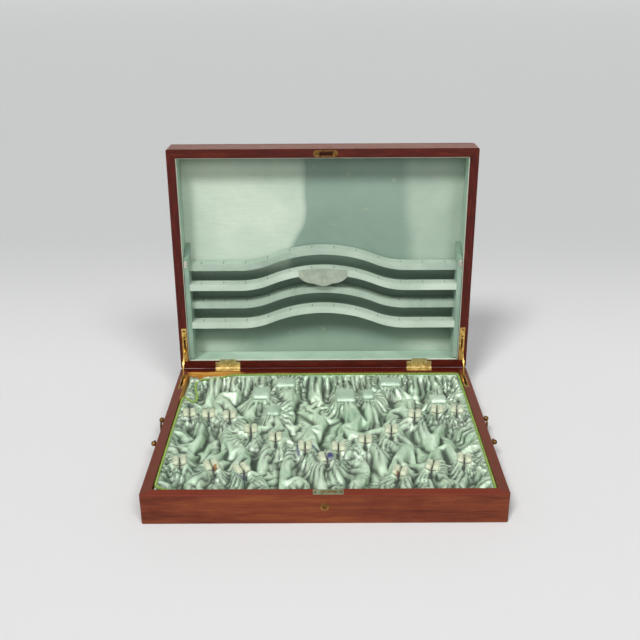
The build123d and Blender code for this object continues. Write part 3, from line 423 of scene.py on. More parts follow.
# ---- silk in the lid
def lid_lining_silk():
    """Ribbed silk of the lid's inside, faded above the rack, paler in the low corners as painted light, and
    with painted shade under the lid's top wall and behind the rack. Each pair says where a patch starts and
    where it is full."""
    faded_left, faded_right = (-0.028, -0.046), (0.145, 0.175)
    above_rack, rack_top, rack_foot = (0.222, 0.250), (0.262, 0.236), (0.088, 0.128)
    corner_x, corner_z = (0.12, 0.22), (0.118, 0.080)
    g = Graph("lid_back_silk")
    x, _, z = g.axes()
    wobble = g.noise(g.stretch((1, 1, 1), (3, 1, 2)), 9.0, 1.5)
    shift = g.times(g.maths("SUBTRACT", wobble, 0.5), 0.026)
    bend = g.times(g.fade(z, 0.345, 0.270), -0.030)
    left_edge = g.maths("SUBTRACT", g.plus(x, shift), bend)
    left = g.fade(left_edge, *faded_left)
    right_edge = g.plus(g.plus(x, shift), g.times(g.fade(z, 0.36, 0.28), -0.012))
    right = g.fade(right_edge, *faded_right)
    fibres = g.noise(g.stretch((1.0, 1.0, 30.0), (1, 1, 1)), 40.0, 3.0, 0.6)
    broad = g.noise(g.stretch((1, 1, 1), (5, 2, 1)), 6.0, 4.0, 0.55, 0.4)
    colour = g.ramp(broad, (0.34, rgb(130, 152, 137)), (0.66, rgb(147, 169, 153)))
    pale = g.ramp(broad, (0.32, rgb(190, 208, 190)), (0.66, rgb(218, 230, 212)))
    above = g.fade(z, *above_rack)
    colour = g.mix(g.times(left, above, 0.9), colour, pale)
    colour = g.mix(g.times(right, above, 0.45), colour, pale)
    # Painted shade behind the rack, where its bars keep the light off.
    painted_rack_shade = g.times(g.fade(z, *rack_top), g.fade(z, *rack_foot))
    # Painted light: the low corners below the rack are paler, away from the rack's shade.
    painted_corner_light = g.times(g.fade(g.maths("ABSOLUTE", x), *corner_x), g.fade(z, *corner_z))
    colour = g.mix(g.times(painted_corner_light, 0.6), colour, pale)
    border = g.times(g.fade(left_edge, -0.046, -0.038), g.fade(left_edge, -0.028, -0.034))
    border = g.times(border, g.fade(z, 0.26, 0.30))
    colour = g.mix(g.times(border, 0.22), colour, rgb(222, 234, 218))
    # Painted shadow: a dark band under the lid's top wall, mixed in together with the painted shade behind
    # the rack.
    painted_wall_shadow = g.plus(g.fade(z, 0.434, 0.460, 0.0, 0.55), g.fade(z, 0.405, 0.425, 0.0, 0.15))
    colour = g.mix(g.maths("MAXIMUM", painted_wall_shadow, g.times(painted_rack_shade, 0.5)), colour, rgb(64, 82, 70))
    ribs = g.ribs(z, 0.0013)
    cross = g.ribs(x, 0.0021)
    colour = g.mix(g.fade(fibres, 0.35, 0.7, 0.0, 0.14), colour, rgb(112, 142, 128))
    spots = g.fade(g.noise(g.place(), 55.0, 3.0, 0.6), 0.66, 0.78, 0.0, 0.35)
    colour = g.mix(spots, colour, rgb(186, 190, 160))
    normal = g.bump(cross, 0.00005, 0.3, g.bump(ribs, 0.00008, 0.5))
    normal = g.bump(fibres, 0.0002, 0.4, normal)
    return g.finish(colour, g.fade(fibres, 0.3, 0.8, 0.55, 0.40), normal, Sheen_Weight=0.25,
                    Sheen_Roughness=0.4, Sheen_Tint=SILK_SHEEN, Specular_IOR_Level=0.45)


def unevenness(a, b, seed):
    """Slow waves between -1 and 1."""
    return (sin(a * 0.031 + seed) * sin(b * 0.047 + 2 * seed)
            + 0.6 * sin(a * 0.083 + b * 0.021 + 3 * seed)
            + 0.4 * sin(b * 0.11 - a * 0.037 + seed)) / 2


def edge_pucker(x, s):
    """Small puckers where the silk is turned over the edges of its board, 0 to 1."""
    near = min(INNER_X - abs(x), s - WALL, DEPTH - WALL - s)
    along = x + s
    return exp(-near / 9.0) * (0.5 + 0.5 * sin(along * 0.62 + 1.4 * sin(along * 0.09)))


def back_depth(x, s):
    return LINING_END + 0.45 + 0.28 * unevenness(x, s, 1.0) + 0.4 * edge_pucker(x, s)


SILK_GAP = 0.1  # between the silk's edges and the lid's walls
BACK_GRID = (177, 133)
back_x = np.linspace(SILK_GAP - INNER_X, INNER_X - SILK_GAP, BACK_GRID[0])
back_s = np.linspace(WALL + SILK_GAP, DEPTH - WALL - SILK_GAP, BACK_GRID[1])
back_points = np.array([[lid_point(x, s, back_depth(x, s)) for s in back_s] for x in back_x])
back_silk = mesh_piece("lid_back_silk", back_points.reshape(-1, 3), grid_faces(*BACK_GRID)[:, ::-1], "lid",
                       lid_lining_silk(), "lid_silk")
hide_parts("lid_back_lining")

SIDE_SILK = ribbed_silk("lid_side_silk", 2.0, rgb(178, 204, 184), rgb(136, 166, 146), ALONG_Z, frayed=True)
END_SILK = ribbed_silk("lid_end_silk", 6.0, rgb(192, 216, 196), rgb(158, 186, 164), ALONG_X, frayed=True)
SIDE_START = WALL + SILK_GAP
SIDE_RUN = DEPTH - 2 * SIDE_START
END_REACH = 262.7  # half the length of the rear and front strips
STRIP_GRID = (150, 16)


def lining_strip(side, start, run, inwards, made, seed):
    """The silk on one wall of the lid, a slab with a puckered front. start, run and inwards are (x, s)."""
    points = []
    for offset, sway in zip(STRIP_FACES, (0.32, 0.0)):
        for part in np.linspace(0, 1, STRIP_GRID[0]):
            for depth in np.linspace(LINING_START, LINING_END - 0.02, STRIP_GRID[1]):
                near_edge = exp(-(depth - LINING_START) / 5.0)
                swell = sway * (0.5 + 0.5 * unevenness(part * 400, depth * 4, seed)) * (1 - 0.3 * near_edge)
                fray = near_edge * sway * 0.9 * sin(part * 97 + seed) * sin(part * 31)
                move = offset + (swell + fray) * 0.6
                points.append(lid_point(start[0] + part * run[0] + inwards[0] * move,
                                        start[1] + part * run[1] + inwards[1] * move, depth))
    piece = mesh_piece("lid_silk_" + side, points, slab_faces(*STRIP_GRID), "lid", made, "lid_silk")
    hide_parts("lid_lining_" + side)


lining_strip("left", (-INNER_X, SIDE_START), (0, SIDE_RUN), (1, 0), SIDE_SILK, 1.0)
lining_strip("right", (INNER_X, SIDE_START), (0, SIDE_RUN), (-1, 0), SIDE_SILK, 2.0)
lining_strip("rear", (-END_REACH, WALL), (2 * END_REACH, 0), (0, 1), END_SILK, 3.0)
lining_strip("front", (-END_REACH, DEPTH - WALL), (2 * END_REACH, 0), (0, -1), END_SILK, 4.0)

# ---- gathered satin of the tray, in mm
START_Z = 32.0  # height at which the satin starts to settle
BED_Z = 14.0  # height of the wadding away from walls, pads and rests
BED_AT_WALLS = 44.0
BED_UNDER_RESTS = 37.0
BED_UNDER_PADS = 36.0
UNDER_PADS = 41.0  # heights at which the satin is held
UNDER_RESTS = 37.5
AT_WALLS = 45.3
SLIPPED = 8.0  # how far it has slipped down at the rear left
SATIN_TOP = 46.6  # no simulated fold rises above this
FLATTER_ABOVE, FLATTER_BY = 41.0, 5.0  # crests end below the sum of these
HELD_GAP, FREE_GAP = 1.6, 1.2  # from the walls
FIRST_GRID = (67, 51)
# Rounds of settling, each on a grid twice as fine: steps, then what settle() takes after them.
ROUNDS = ((260, 0.45, 0.20, 4.0, 22.0, 60.0, 1), (220, 0.70, 0.10, 1.4, 11.0, 30.0, 2),
          (160, 1.00, 0.03, 0.8, 7.0, 18.0, 3))
BEND_SPAN = 2  # cells that a bending link goes over
DAMPING = 0.93  # part of its speed that a point keeps from step to step
SINK = 0.001  # what its speed downwards gains at each step
SLIDE = 0.1  # part of its speed that it keeps sideways on the wadding


def tray_grid(rows, columns):
    """x and y of a grid of points over the tray."""
    return np.meshgrid(np.linspace(-INNER_X, INNER_X, rows), np.linspace(-INNER_Y, INNER_Y, columns),
                       indexing="ij")


def keep_inside(points, gap):
    for axis, half in enumerate((INNER_X, INNER_Y)):
        points[..., axis] = np.clip(points[..., axis], gap - half, half - gap)


def in_holders(x, y):
    """Coordinates in each holder's own frame: across its slit, and towards the rear."""
    for hx, hy, degrees in HOLDERS:
        turn = radians(degrees)
        dx = x - hx
        dy = y - hy
        yield dx * cos(turn) + dy * sin(turn), dy * cos(turn) - dx * sin(turn)


def hold_height(x, y):
    """Height at which the satin is glued along the walls; it has slipped at the rear left."""
    rear = smooth_step(-x, 165, 205) * smooth_step(y, 150, 195)
    left = smooth_step(y, 88, 112) * smooth_step(-x, 200, 250)
    return AT_WALLS - SLIPPED * np.maximum(rear, left)


def fullness(x, y):
    """How much longer the cloth is than the place it fills, along x and along y."""
    along_x = 1.38 + 0.30 * smooth_step(y, 118, 185) + 0.15 * smooth_step(-y, 150, 190)
    along_y = 1.12 + 0.30 * smooth_step(np.abs(x), 215, 258)
    for u, v in in_holders(x, y):
        along_x += 0.35 * np.exp(-(u / 24) ** 2 - ((v + 30) / 30) ** 2)
    for rx, ry, width, length in BOWL_RESTS:
        along_x += 0.15 * np.exp(-((x - rx) / (width * 0.8)) ** 2 - ((y - ry + length * 0.5 + 12) / 26) ** 2)
    return along_x, along_y


def bed_height(x, y):
    """The wadding under the satin."""
    z = BED_Z + 2.5 * np.sin(x * 0.021 + 1.3) * np.sin(y * 0.027 + 0.4)
    edge = np.minimum(INNER_X - np.abs(x), INNER_Y - np.abs(y))
    z += (BED_AT_WALLS - BED_Z) * np.exp(-np.clip(edge - 2, 0, None) / 9.0)

    def raised(z, across, along, top):
        reach = np.abs(across) ** 4 + np.abs(along) ** 4
        return np.maximum(z, BED_Z + (top - BED_Z) * np.exp(-reach * 0.9))

    for rx, ry, width, length in BOWL_RESTS:
        z = raised(z, (x - rx) / (width / 2 + 4), (y - ry) / (length / 2 + 4), BED_UNDER_RESTS)
    for u, v in in_holders(x, y):
        z = raised(z, u / 16, v / 16, BED_UNDER_PADS)
    return z


def ripples(rng, rows, columns, wave, length):
    """Seeds of folds that run from front to rear: waves across, and how far each goes on."""
    noise = np.fft.rfft2(rng.standard_normal((rows, columns)))
    across = np.fft.fftfreq(rows, 2 * INNER_X / (rows - 1))[:, None]
    along = np.fft.rfftfreq(columns, 2 * INNER_Y / (columns - 1))[None, :]
    band = np.exp(-((np.abs(across) - 1 / wave) / (0.35 / wave)) ** 2 - (along * length) ** 2)
    folds = np.fft.irfft2(noise * band, s=(rows, columns))
    return folds / folds.std()


def pull(points, weight, first, second, rest, stiffness, only_push=False):
    """Moves two sets of points towards their rest distance from each other."""
    gap = points[second] - points[first]
    length = np.sqrt((gap * gap).sum(-1)) + 1e-9
    w1 = weight[first]
    w2 = weight[second]
    change = stiffness * (length - rest) / length / (w1 + w2 + 1e-9)
    if only_push:
        change = np.minimum(change, 0)
    gap *= change[..., None]
    points[first] += w1[..., None] * gap
    points[second] -= w2[..., None] * gap


def cloth_links(rows, columns, rest_x, rest_y, rest_d):
    """Links that can be solved together, as slices of the grid, with their rest lengths and stiffness."""
    every, left, right = slice(None), slice(0, columns - 1), slice(1, columns)
    links = []

    def pairs(count, start):
        return slice(start, count - 1, 2), slice(start + 1, count, 2)

    for start in (0, 1):
        here, after = pairs(rows, start)
        links.append(((here, every), (after, every), rest_x[start::2], 1.0))
        here, after = pairs(columns, start)
        links.append(((every, here), (every, after), rest_y[:, start::2], 1.0))
    for start in (0, 1):
        here, after = pairs(rows, start)
        links.append(((here, left), (after, right), rest_d[start::2], 0.25))
        links.append(((here, right), (after, left), rest_d[start::2], 0.25))
    return links


def bending_links(rows, columns, rest_x, rest_y):
    """Links across a few cells, which only push, so that a fold keeps a radius."""
    span = range(BEND_SPAN)
    links = []
    for odd in (0, 1):
        a = np.arange(rows - BEND_SPAN)
        a = a[(a // BEND_SPAN) % 2 == odd]
        links.append(((a,), (a + BEND_SPAN,), sum(rest_x[a + k] for k in span)))
        b = np.arange(columns - BEND_SPAN)
        b = b[(b // BEND_SPAN) % 2 == odd]
        links.append(((slice(None), b), (slice(None), b + BEND_SPAN), sum(rest_y[:, b + k] for k in span)))
    return links


def settle(points, steps, share, bending, lift, wave, length, seed):
    """Lets the cloth settle at one resolution, with a share of its fullness. lift, wave and length are the
    height, width and length of the seeds of its folds. Returns its points and rest lengths."""
    rng = np.random.default_rng(seed)
    rows, columns = points.shape[:2]
    x, y = tray_grid(rows, columns)
    full_x, full_y = (1 + (full - 1) * share for full in fullness(x, y))
    cell_x = 2 * INNER_X / (rows - 1)
    cell_y = 2 * INNER_Y / (columns - 1)
    rest_x = cell_x * (full_x[1:] + full_x[:-1]) / 2
    rest_y = cell_y * (full_y[:, 1:] + full_y[:, :-1]) / 2
    diagonal = np.hypot(cell_x * full_x, cell_y * full_y)
    rest_d = (diagonal[1:, 1:] + diagonal[:-1, :-1]) / 2
    links = cloth_links(rows, columns, rest_x, rest_y, rest_d)
    bends = bending_links(rows, columns, rest_x, rest_y)
    weight = np.ones((rows, columns))
    edge = np.ones((rows, columns), bool)
    edge[1:-1, 1:-1] = False
    points = points.copy()
    places = np.stack([x, y], -1)
    keep_inside(places, HELD_GAP)

    def hold(which, height):
        weight[which] = 0
        points[which, :2] = places[which]
        points[which, 2] = height

    hold(edge, hold_height(x, y)[edge])
    for u, v in in_holders(x, y):
        under = (np.abs(u) < 10.5) & (np.abs(v) < 11)
        tuck = (np.abs(u) < 2.2) & (v < -8) & (v > -20)
        hold(under, UNDER_PADS - 8.0 * np.exp(-(u[under] / 2.6) ** 2))
        hold(tuck, 37.0 + 0.5 * v[tuck])
    for rx, ry, width, length_y in BOWL_RESTS:
        hold((np.abs(x - rx) < width / 2 - 1) & (np.abs(y - ry) < length_y / 2 - 1), UNDER_RESTS)
    free = weight > 0
    beside = smooth_step(np.abs(x), 215, 255)  # the folds beside the left and right walls run across
    seeds = (ripples(rng, rows, columns, wave, length) * (1 - beside)
             + ripples(rng, columns, rows, wave, length).T * beside)
    points[..., 2] += np.where(free, lift * seeds, 0)
    speed = np.zeros_like(points)
    for _ in range(steps):
        speed *= DAMPING
        speed[..., 2] -= SINK
        moved = points + speed * weight[..., None]
        for first, second, rest, stiffness in links:
            pull(moved, weight, first, second, rest, stiffness)
        for first, second, rest in bends:
            pull(moved, weight, first, second, rest, bending, True)
        bed = bed_height(moved[..., 0], moved[..., 1])
        touching = free & (moved[..., 2] < bed)
        moved[..., 2] = np.where(free, np.clip(moved[..., 2], bed, SATIN_TOP), moved[..., 2])
        keep_inside(moved, FREE_GAP)
        speed = moved - points
        speed[touching, :2] *= SLIDE
        moved[touching, :2] = points[touching, :2] + speed[touching, :2]
        points = moved
    return points, rest_x, rest_y


def refine(points):
    """The same surface on a grid twice as fine."""
    rows, columns = points.shape[:2]
    finer = np.empty((2 * rows - 1, 2 * columns - 1, 3))
    finer[::2, ::2] = points
    finer[1::2, ::2] = (points[1:] + points[:-1]) / 2
    finer[:, 1::2] = (finer[:, 2::2] + finer[:, :-2:2]) / 2
    return finer


def settled_satin():
    x, y = tray_grid(*FIRST_GRID)
    points = np.stack([x, y, np.full(x.shape, START_Z)], -1)
    for number, (steps, *settings) in enumerate(ROUNDS):
        if number:
            points = refine(points)
        points, rest_x, rest_y = settle(points, steps, *settings)
    return points, rest_x, rest_y


def pleat_profile(rng, where, start, end, narrow, wide):
    """Gathered pleats of uneven width: round crests with sharp valleys between them, 0 to 1."""
    edges = [start]
    while edges[-1] < end:
        edges.append(edges[-1] + rng.uniform(narrow, wide))
    order = np.interp(where, edges, np.arange(len(edges)))
    depths = rng.uniform(0.55, 1.0, len(edges) + 1)[order.astype(int)]
    return 1 - depths * (1 - np.abs(np.sin(pi * order)) ** 0.75)


def gathers(x, y):
    """Pleats along the walls, fans in front of the holders and skirts round the rests: how far each point
    moves, and 0 to 1 for how deep it lies in a pleat."""
    rng = np.random.default_rng(9)
    moves = np.zeros(x.shape + (3,))
    depth = np.zeros(x.shape)
    drift = 5 * np.sin(x * 0.043 + y * 0.09) + 3 * np.sin(x * 0.11 - y * 0.05)
    outwards = (0.0, -0.1, 0.95)

    def add(profile, envelope, height, direction):
        moves[:] += ((profile - 0.55) * envelope * height)[..., None] * direction
        depth[:] = np.maximum(depth, (1 - profile) * envelope)

    for along, gap, reach, height, direction in (
            (x, INNER_Y - y, 66.0, 9.0, (0.0, -0.5, 0.85)), (x, y + INNER_Y, 34.0, 3.5, (0.0, 0.4, 0.9)),
            (y, INNER_X - x, 44.0, 6.0, (-0.5, 0.0, 0.85)), (y, x + INNER_X, 44.0, 6.0, (0.5, 0.0, 0.85))):
        fade = smooth_step(gap, 1, 9) * (1 - smooth_step(gap, reach * 0.45, reach))
        spread = drift * smooth_step(gap, 4, reach)
        add(pleat_profile(rng, along + spread, -300, 300, 7.0, 15.0), fade, height, direction)
    for u, v in in_holders(x, y):
        reach = np.hypot(u, v + 3)
        angle = np.arctan2(u, -(v + 3))
        fade = (smooth_step(reach, 11, 20) * (1 - smooth_step(reach, 34, 72))
                * (1 - smooth_step(np.abs(angle), 1.1, 1.8)))
        add(pleat_profile(rng, angle + drift * 0.02, -3.5, 3.5, 0.16, 0.38), fade, 5.2, outwards)
    for rx, ry, width, length in BOWL_RESTS:
        beyond = np.hypot(np.clip(np.abs(x - rx) - width / 2, 0, None),
                          np.clip(np.abs(y - ry) - length / 2, 0, None))
        angle = np.arctan2(x - rx, ry - y)
        fade = smooth_step(beyond, 0, 4) * (1 - smooth_step(beyond, 12, 34))
        add(pleat_profile(rng, angle, -3.3, 3.3, 0.18, 0.36), fade, 4.0, outwards)
    return moves, np.clip(depth, 0, 1)


def smoothed(values, rounds):
    """A grid of values after some rounds of averaging each with its neighbours."""
    for _ in range(rounds):
        wide = np.pad(values, ((1, 1), (1, 1)) + ((0, 0),) * (values.ndim - 2), mode="edge")
        values = (wide[:-2, 1:-1] + wide[2:, 1:-1] + wide[1:-1, :-2] + wide[1:-1, 2:] + wide[1:-1, 1:-1]) / 5
    return values


def gathered(points):
    """The settled cloth with its fine pleats drawn in; also how deep each point lies in them."""
    moves, depth = gathers(points[..., 0], points[..., 1])
    near = smooth_step(np.linalg.norm(smoothed(np.abs(moves), 6), axis=-1), 0.2, 1.4)[..., None] * 0.6
    calm = points * (1 - near) + smoothed(points, 10) * near + moves
    height = np.maximum(calm[..., 2], bed_height(points[..., 0], points[..., 1]) - 2)
    crest = FLATTER_ABOVE + FLATTER_BY * np.tanh((height - FLATTER_ABOVE) / FLATTER_BY)
    calm[..., 2] = np.where(height > FLATTER_ABOVE, crest, height)
    keep_inside(calm, FREE_GAP)
    for edge in (np.s_[0], np.s_[-1], np.s_[:, 0], np.s_[:, -1]):
        calm[edge] = points[edge]
    return calm, depth


STAIN_Z = 0.03  # height of the middle of each stain, and half its height


def satin_material(name, seed, light, middle, dark, stains=(), dark_line_z=None):
    """Satin with painted shade in its creases and pleats, where its "fold" attribute is near 1. The last
    argument, if given, is the height of a dark line.
    """
    g = Graph(name)
    fold = g.out("Attribute", output="Fac", attribute_name="fold")
    tone = g.noise(g.stretch((1, 1, 1), (seed, seed, seed)), 16.0, 4.0, 0.55, 0.6)
    colour = g.ramp(tone, (0.34, middle), (0.66, light))
    # Painted shade: the satin turns towards its dark colour in creases and pleats, from the "fold" attribute.
    colour = g.mix(g.times(fold, 0.9), colour, dark)
    for centre, radii, stain, amount in stains:
        mark = g.times(g.near((*centre, STAIN_Z), (*radii, STAIN_Z)), g.fade(tone, 0.40, 0.52, 0.45, 1.0))
        colour = g.mix(g.times(mark, amount), colour, stain)
    threads = g.noise(g.stretch((1.0, 7.0, 1.0)), 900.0, 2.0)
    creases = g.from_middle(g.noise(g.stretch((2.4, 0.6, 1.0), (seed, 0, 0)), 80.0, 3.0, 0.55, 0.6))
    # A dark line round the piece at the given height.
    if dark_line_z:
        _, _, z = g.axes()
        band = g.times(g.fade(z, dark_line_z - 0.0008, dark_line_z), g.fade(z, dark_line_z + 0.0018, dark_line_z + 0.0010))
        colour = g.mix(g.times(band, 0.6), colour, dark)
    roughness = g.fade(tone, 0.3, 0.7, 0.42, 0.33)
    small = g.noise(g.stretch((1.8, 0.7, 1.0), (0, seed, 0)), 190.0, 2.0, 0.5, 0.5)
    normal = g.bump(creases, 0.0042, 0.5)
    normal = g.bump(g.from_middle(small), 0.0012, 0.4, normal)
    normal = g.bump(threads, 0.00004, 0.25, normal)
    return g.finish(colour, roughness, normal, Metallic=0.22, Sheen_Weight=0.08, Sheen_Roughness=0.3,
                    Sheen_Tint=rgb(225, 245, 230), Specular_IOR_Level=0.8, Anisotropic=0.4)


def mark_crease_shade(piece, heights, pleats):
    """Keeps how deep each point lies below its surroundings, in a pleat or in the crease in front of a slit,
    0 to 1, as the attribute "fold", which the satin turns into painted shade.
    """
    blurred = smoothed(heights, 14)
    broad = smoothed(blurred, 28)
    depth = np.maximum(np.clip((blurred - heights) / 2.0, 0, 1), np.clip((broad - heights) / 5.0, 0, 1))
    depth = np.maximum(depth, np.clip(1.6 * pleats, 0, 1))
    x, y = tray_grid(*heights.shape)
    # Painted shade along the crease in front of each slit.
    for u, v in in_holders(x, y):
        depth = np.maximum(depth, np.exp(-(u / 2.2) ** 2) * (v < -8) * np.clip((v + 26) / 10, 0, 1))
    attribute = piece.data.attributes.new("fold", "FLOAT", "POINT")
    attribute.data.foreach_set("value", depth.reshape(-1).astype(np.float32))


SATIN_STAINS = (((-0.043, -0.062), (0.007, 0.020), rgb(40, 48, 96), 0.95),
                ((-0.016, -0.058), (0.009, 0.014), rgb(64, 72, 140), 0.9),
                ((0.006, -0.086), (0.011, 0.014), rgb(34, 44, 112), 0.95),
                ((-0.134, -0.142), (0.012, 0.012), rgb(96, 98, 150), 0.8),
                ((0.060, 0.050), (0.030, 0.030), rgb(96, 150, 120), 0.5))
SATIN = satin_material("mint_satin", 2.0, rgb(230, 248, 222), rgb(196, 224, 194), rgb(12, 28, 18),
                       SATIN_STAINS)
cloth, rest_x, rest_y = settled_satin()
cloth, pleats = gathered(cloth)
satin = mesh_piece("satin_lining_cloth", cloth.reshape(-1, 3) * MM, grid_faces(*cloth.shape[:2]), "base",
                   SATIN, "satin")
mark_crease_shade(satin, cloth[..., 2], pleats)
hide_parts("satin_lining")


# ---- pads and rests, in mm
def cushion(centre, size, turn, corner, crown, divisions, seed, dent):
    """Points and faces of a small stuffed block: rounded corners, crowned top, slack sides."""
    rng = np.random.default_rng(seed)
    made = bmesh.new()
    bmesh.ops.create_cube(made, size=1.0)
    bmesh.ops.subdivide_edges(made, edges=made.edges[:], cuts=divisions, use_grid_fill=True)
    dents = rng.uniform(-1, 1, (4, 3))
    half = np.array(size) / 2
    core = half - corner
    points = []
    for vertex in made.verts:
        p = np.array(vertex.co) * 2
        swell = p * half
        inner = np.clip(swell, -core, core)
        away = swell - inner
        length = np.linalg.norm(away)
        if length > 1e-9:
            swell = inner + away / length * min(length, corner)
        if p[2] > 0.2:
            swell[2] += crown * (1 - p[0] ** 2) * (1 - p[1] ** 2)
        bulge = (1 - p[2] ** 2) * crown * 0.6
        for axis in (0, 1):
            swell[axis] += np.sign(p[axis]) * bulge * abs(p[axis]) ** 3
        wave = sum(np.sin(swell @ w * 0.45 + 3 * w[0]) for w in dents) / 4
        points.append(swell + dent * wave * p)
    angle = radians(turn)
    spin = np.array([[cos(angle), -sin(angle), 0], [sin(angle), cos(angle), 0], [0, 0, 1]])
    faces = [[v.index for v in f.verts] for f in made.faces]
    made.free()
    return np.array(points) @ spin.T + centre, faces


def join(parts):
    """Points and faces of several parts as one."""
    faces = []
    count = 0
    for part_points, part_faces in parts:
        faces += [[index + count for index in face] for face in part_faces]
        count += len(part_points)
    return np.concatenate([part_points for part_points, _ in parts]), faces


PAD_MARKS = (((0.010, -0.094, 0.045), 0.010, rgb(40, 50, 116)),
             ((-0.176, -0.124, 0.043), 0.005, rgb(160, 104, 48)),
             ((0.117, -0.143, 0.043), 0.0045, rgb(150, 96, 50)))


def cream_silk():
    """Worn silk of the pads, with an ink stain and two rust marks."""
    g = Graph("cream_pad_silk")
    age = g.noise(g.place(), 160.0, 4.0, 0.6, 0.5)
    colour = g.ramp(age, (0.34, rgb(190, 200, 168)), (0.64, rgb(222, 228, 198)))
    soil = g.fade(g.noise(g.place(), 70.0, 3.0, 0.6), 0.55, 0.8, 0.0, 0.4)
    colour = g.mix(soil, colour, rgb(150, 150, 126))
    for centre, reach, mark in PAD_MARKS:
        spot = g.near(centre, (reach, reach * 1.2, 0.02))
        colour = g.mix(g.times(spot, 0.95), colour, mark)
    weave = g.noise(g.stretch((6.0, 1.0, 1.0)), 700.0, 2.0)
    return g.finish(colour, g.fade(age, 0.3, 0.7, 0.55, 0.4), g.bump(weave, 0.00008, 0.4), Sheen_Weight=0.35,
                    Sheen_Roughness=0.4)


PAD_SILK = cream_silk()
for row, holders in HOLDER_ROWS.items():
    parts = []
    for number, (cx, cy, turn) in enumerate(holders):
        across = Vector((cos(radians(turn)), sin(radians(turn))))
        for side in (-1, 1):
            middle = side * (SLIT + PAD_SIZE[0]) / 2
            centre = (cx + across.x * middle, cy + across.y * middle, PAD_TOP - PAD_SIZE[2] / 2)
            parts.append(cushion(centre, PAD_SIZE, turn, corner=3.2, crown=0.7, divisions=7,
                                 seed=number * 7 + side + 40, dent=0.25))
    points, faces = join(parts)
    pads = mesh_piece("pads_" + row, points * MM, faces, "base", PAD_SILK, "pad_silk")
    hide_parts("holders_" + row)

REST_SATIN = satin_material("rest_satin", 5.0, rgb(212, 232, 210), rgb(180, 206, 182), rgb(60, 84, 68),
                            dark_line_z=0.0385)
points, faces = join([cushion((cx, cy, PAD_TOP - 9), (width, length, REST_HEIGHT), 0, corner=5.5, crown=0.8,
                              divisions=12, seed=number + 90, dent=0.6)
                      for number, (cx, cy, width, length) in enumerate(BOWL_RESTS)])
rests = mesh_piece("bowl_rest_cushions", points * MM, faces, "base", REST_SATIN, "satin")
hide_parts("bowl_rests")


# ---- trim cord and tie threads, in metres
def nurbs_line(points, resolution):
    """Points read from the smooth spline through a route's control points, which are in mm."""
    curve = bpy.data.curves.new("route", "CURVE")
    curve.dimensions = "3D"
    spline = curve.splines.new("NURBS")
    spline.points.add(len(points) - 1)
    for point, place in zip(spline.points, points):
        point.co = (*(v * MM for v in place), 1.0)
    spline.order_u = 3
    spline.use_endpoint_u = True
    curve.resolution_u = resolution
    carrier = scene_object("route", curve)
    mesh = bpy.data.meshes.new_from_object(carrier)
    line = np.array([tuple(v.co) for v in mesh.vertices])
    bpy.data.objects.remove(carrier)
    bpy.data.meshes.remove(mesh)
    bpy.data.curves.remove(curve)
    return line


def distances(line):
    """How far along a line each of its points lies."""
    return np.concatenate([[0], np.cumsum(np.linalg.norm(np.diff(line, axis=0), axis=1))])


def even_points(line, step):
    """The same line, with points at even distances."""
    reach = distances(line)
    at = np.linspace(0, reach[-1], int(reach[-1] / step))
    return np.stack([np.interp(at, reach, line[:, k]) for k in range(3)], -1)


def strand(line, offset, pitch, radius, phase, sides):
    """A tube that winds round a line at an offset."""
    along = np.gradient(line, axis=0)
    along /= np.linalg.norm(along, axis=1)[:, None]
    side = np.cross(along, (0.0, 0.0, 1.0))
    side /= np.linalg.norm(side, axis=1)[:, None]
    up = np.cross(side, along)
    turn = 2 * pi * distances(line) / pitch + phase
    middle = line + offset * (np.cos(turn)[:, None] * side + np.sin(turn)[:, None] * up)
    rings = [middle + radius * (cos(angle) * side + sin(angle) * up)
             for angle in (2 * pi * k / sides for k in range(sides))]
    last = (len(line) - 1) * sides
    faces = [(n + k, n + (k + 1) % sides, n + (k + 1) % sides + sides, n + k + sides)
             for n in range(0, last, sides) for k in range(sides)]
    faces += [tuple(range(sides))[::-1], tuple(range(last, last + sides))]
    return np.stack(rings, 1).reshape(-1, 3), faces


def cord_material(name, light, dark, seed):
    """Green cord, yellowed in patches."""
    g = Graph(name)
    fibre = g.noise(g.place(), 900.0, 3.0, 0.6)
    age = g.noise(g.stretch((1, 1, 1), (seed, seed, 0)), 25.0, 3.0, 0.6)
    colour = g.mix(g.fade(fibre, 0.35, 0.7), dark, light)
    colour = g.mix(g.fade(age, 0.45, 0.75, 0.0, 0.45), colour, rgb(168, 176, 92))
    return g.finish(colour, g.fade(fibre, 0.3, 0.7, 0.6, 0.42), g.bump(fibre, 0.0001, 0.5), Sheen_Weight=0.3)


def thread_material():
    g = Graph("tie_thread")
    fibre = g.noise(g.place(), 700.0, 3.0, 0.6)
    colour = g.mix(g.fade(fibre, 0.35, 0.7), rgb(58, 50, 70), rgb(112, 100, 118))
    return g.finish(colour, g.fade(fibre, 0.3, 0.7, 0.8, 0.6), g.bump(fibre, 0.0001, 0.5))


cord_line = even_points(nurbs_line(CORD_ROUTE, 24), 0.0006)
for number, made in enumerate((
        cord_material("cord_light_strand", rgb(190, 216, 92), rgb(134, 172, 52), 1.0),
        cord_material("cord_dark_strand", rgb(140, 178, 66), rgb(70, 108, 34), 2.0))):
    points, faces = strand(cord_line, 0.001, 0.0058, 0.0012, number * pi, 6)
    piece = mesh_piece(f"trim_cord_strand_{number + 1}", points, faces, "base", made, "cord")
    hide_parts("lining_cord")

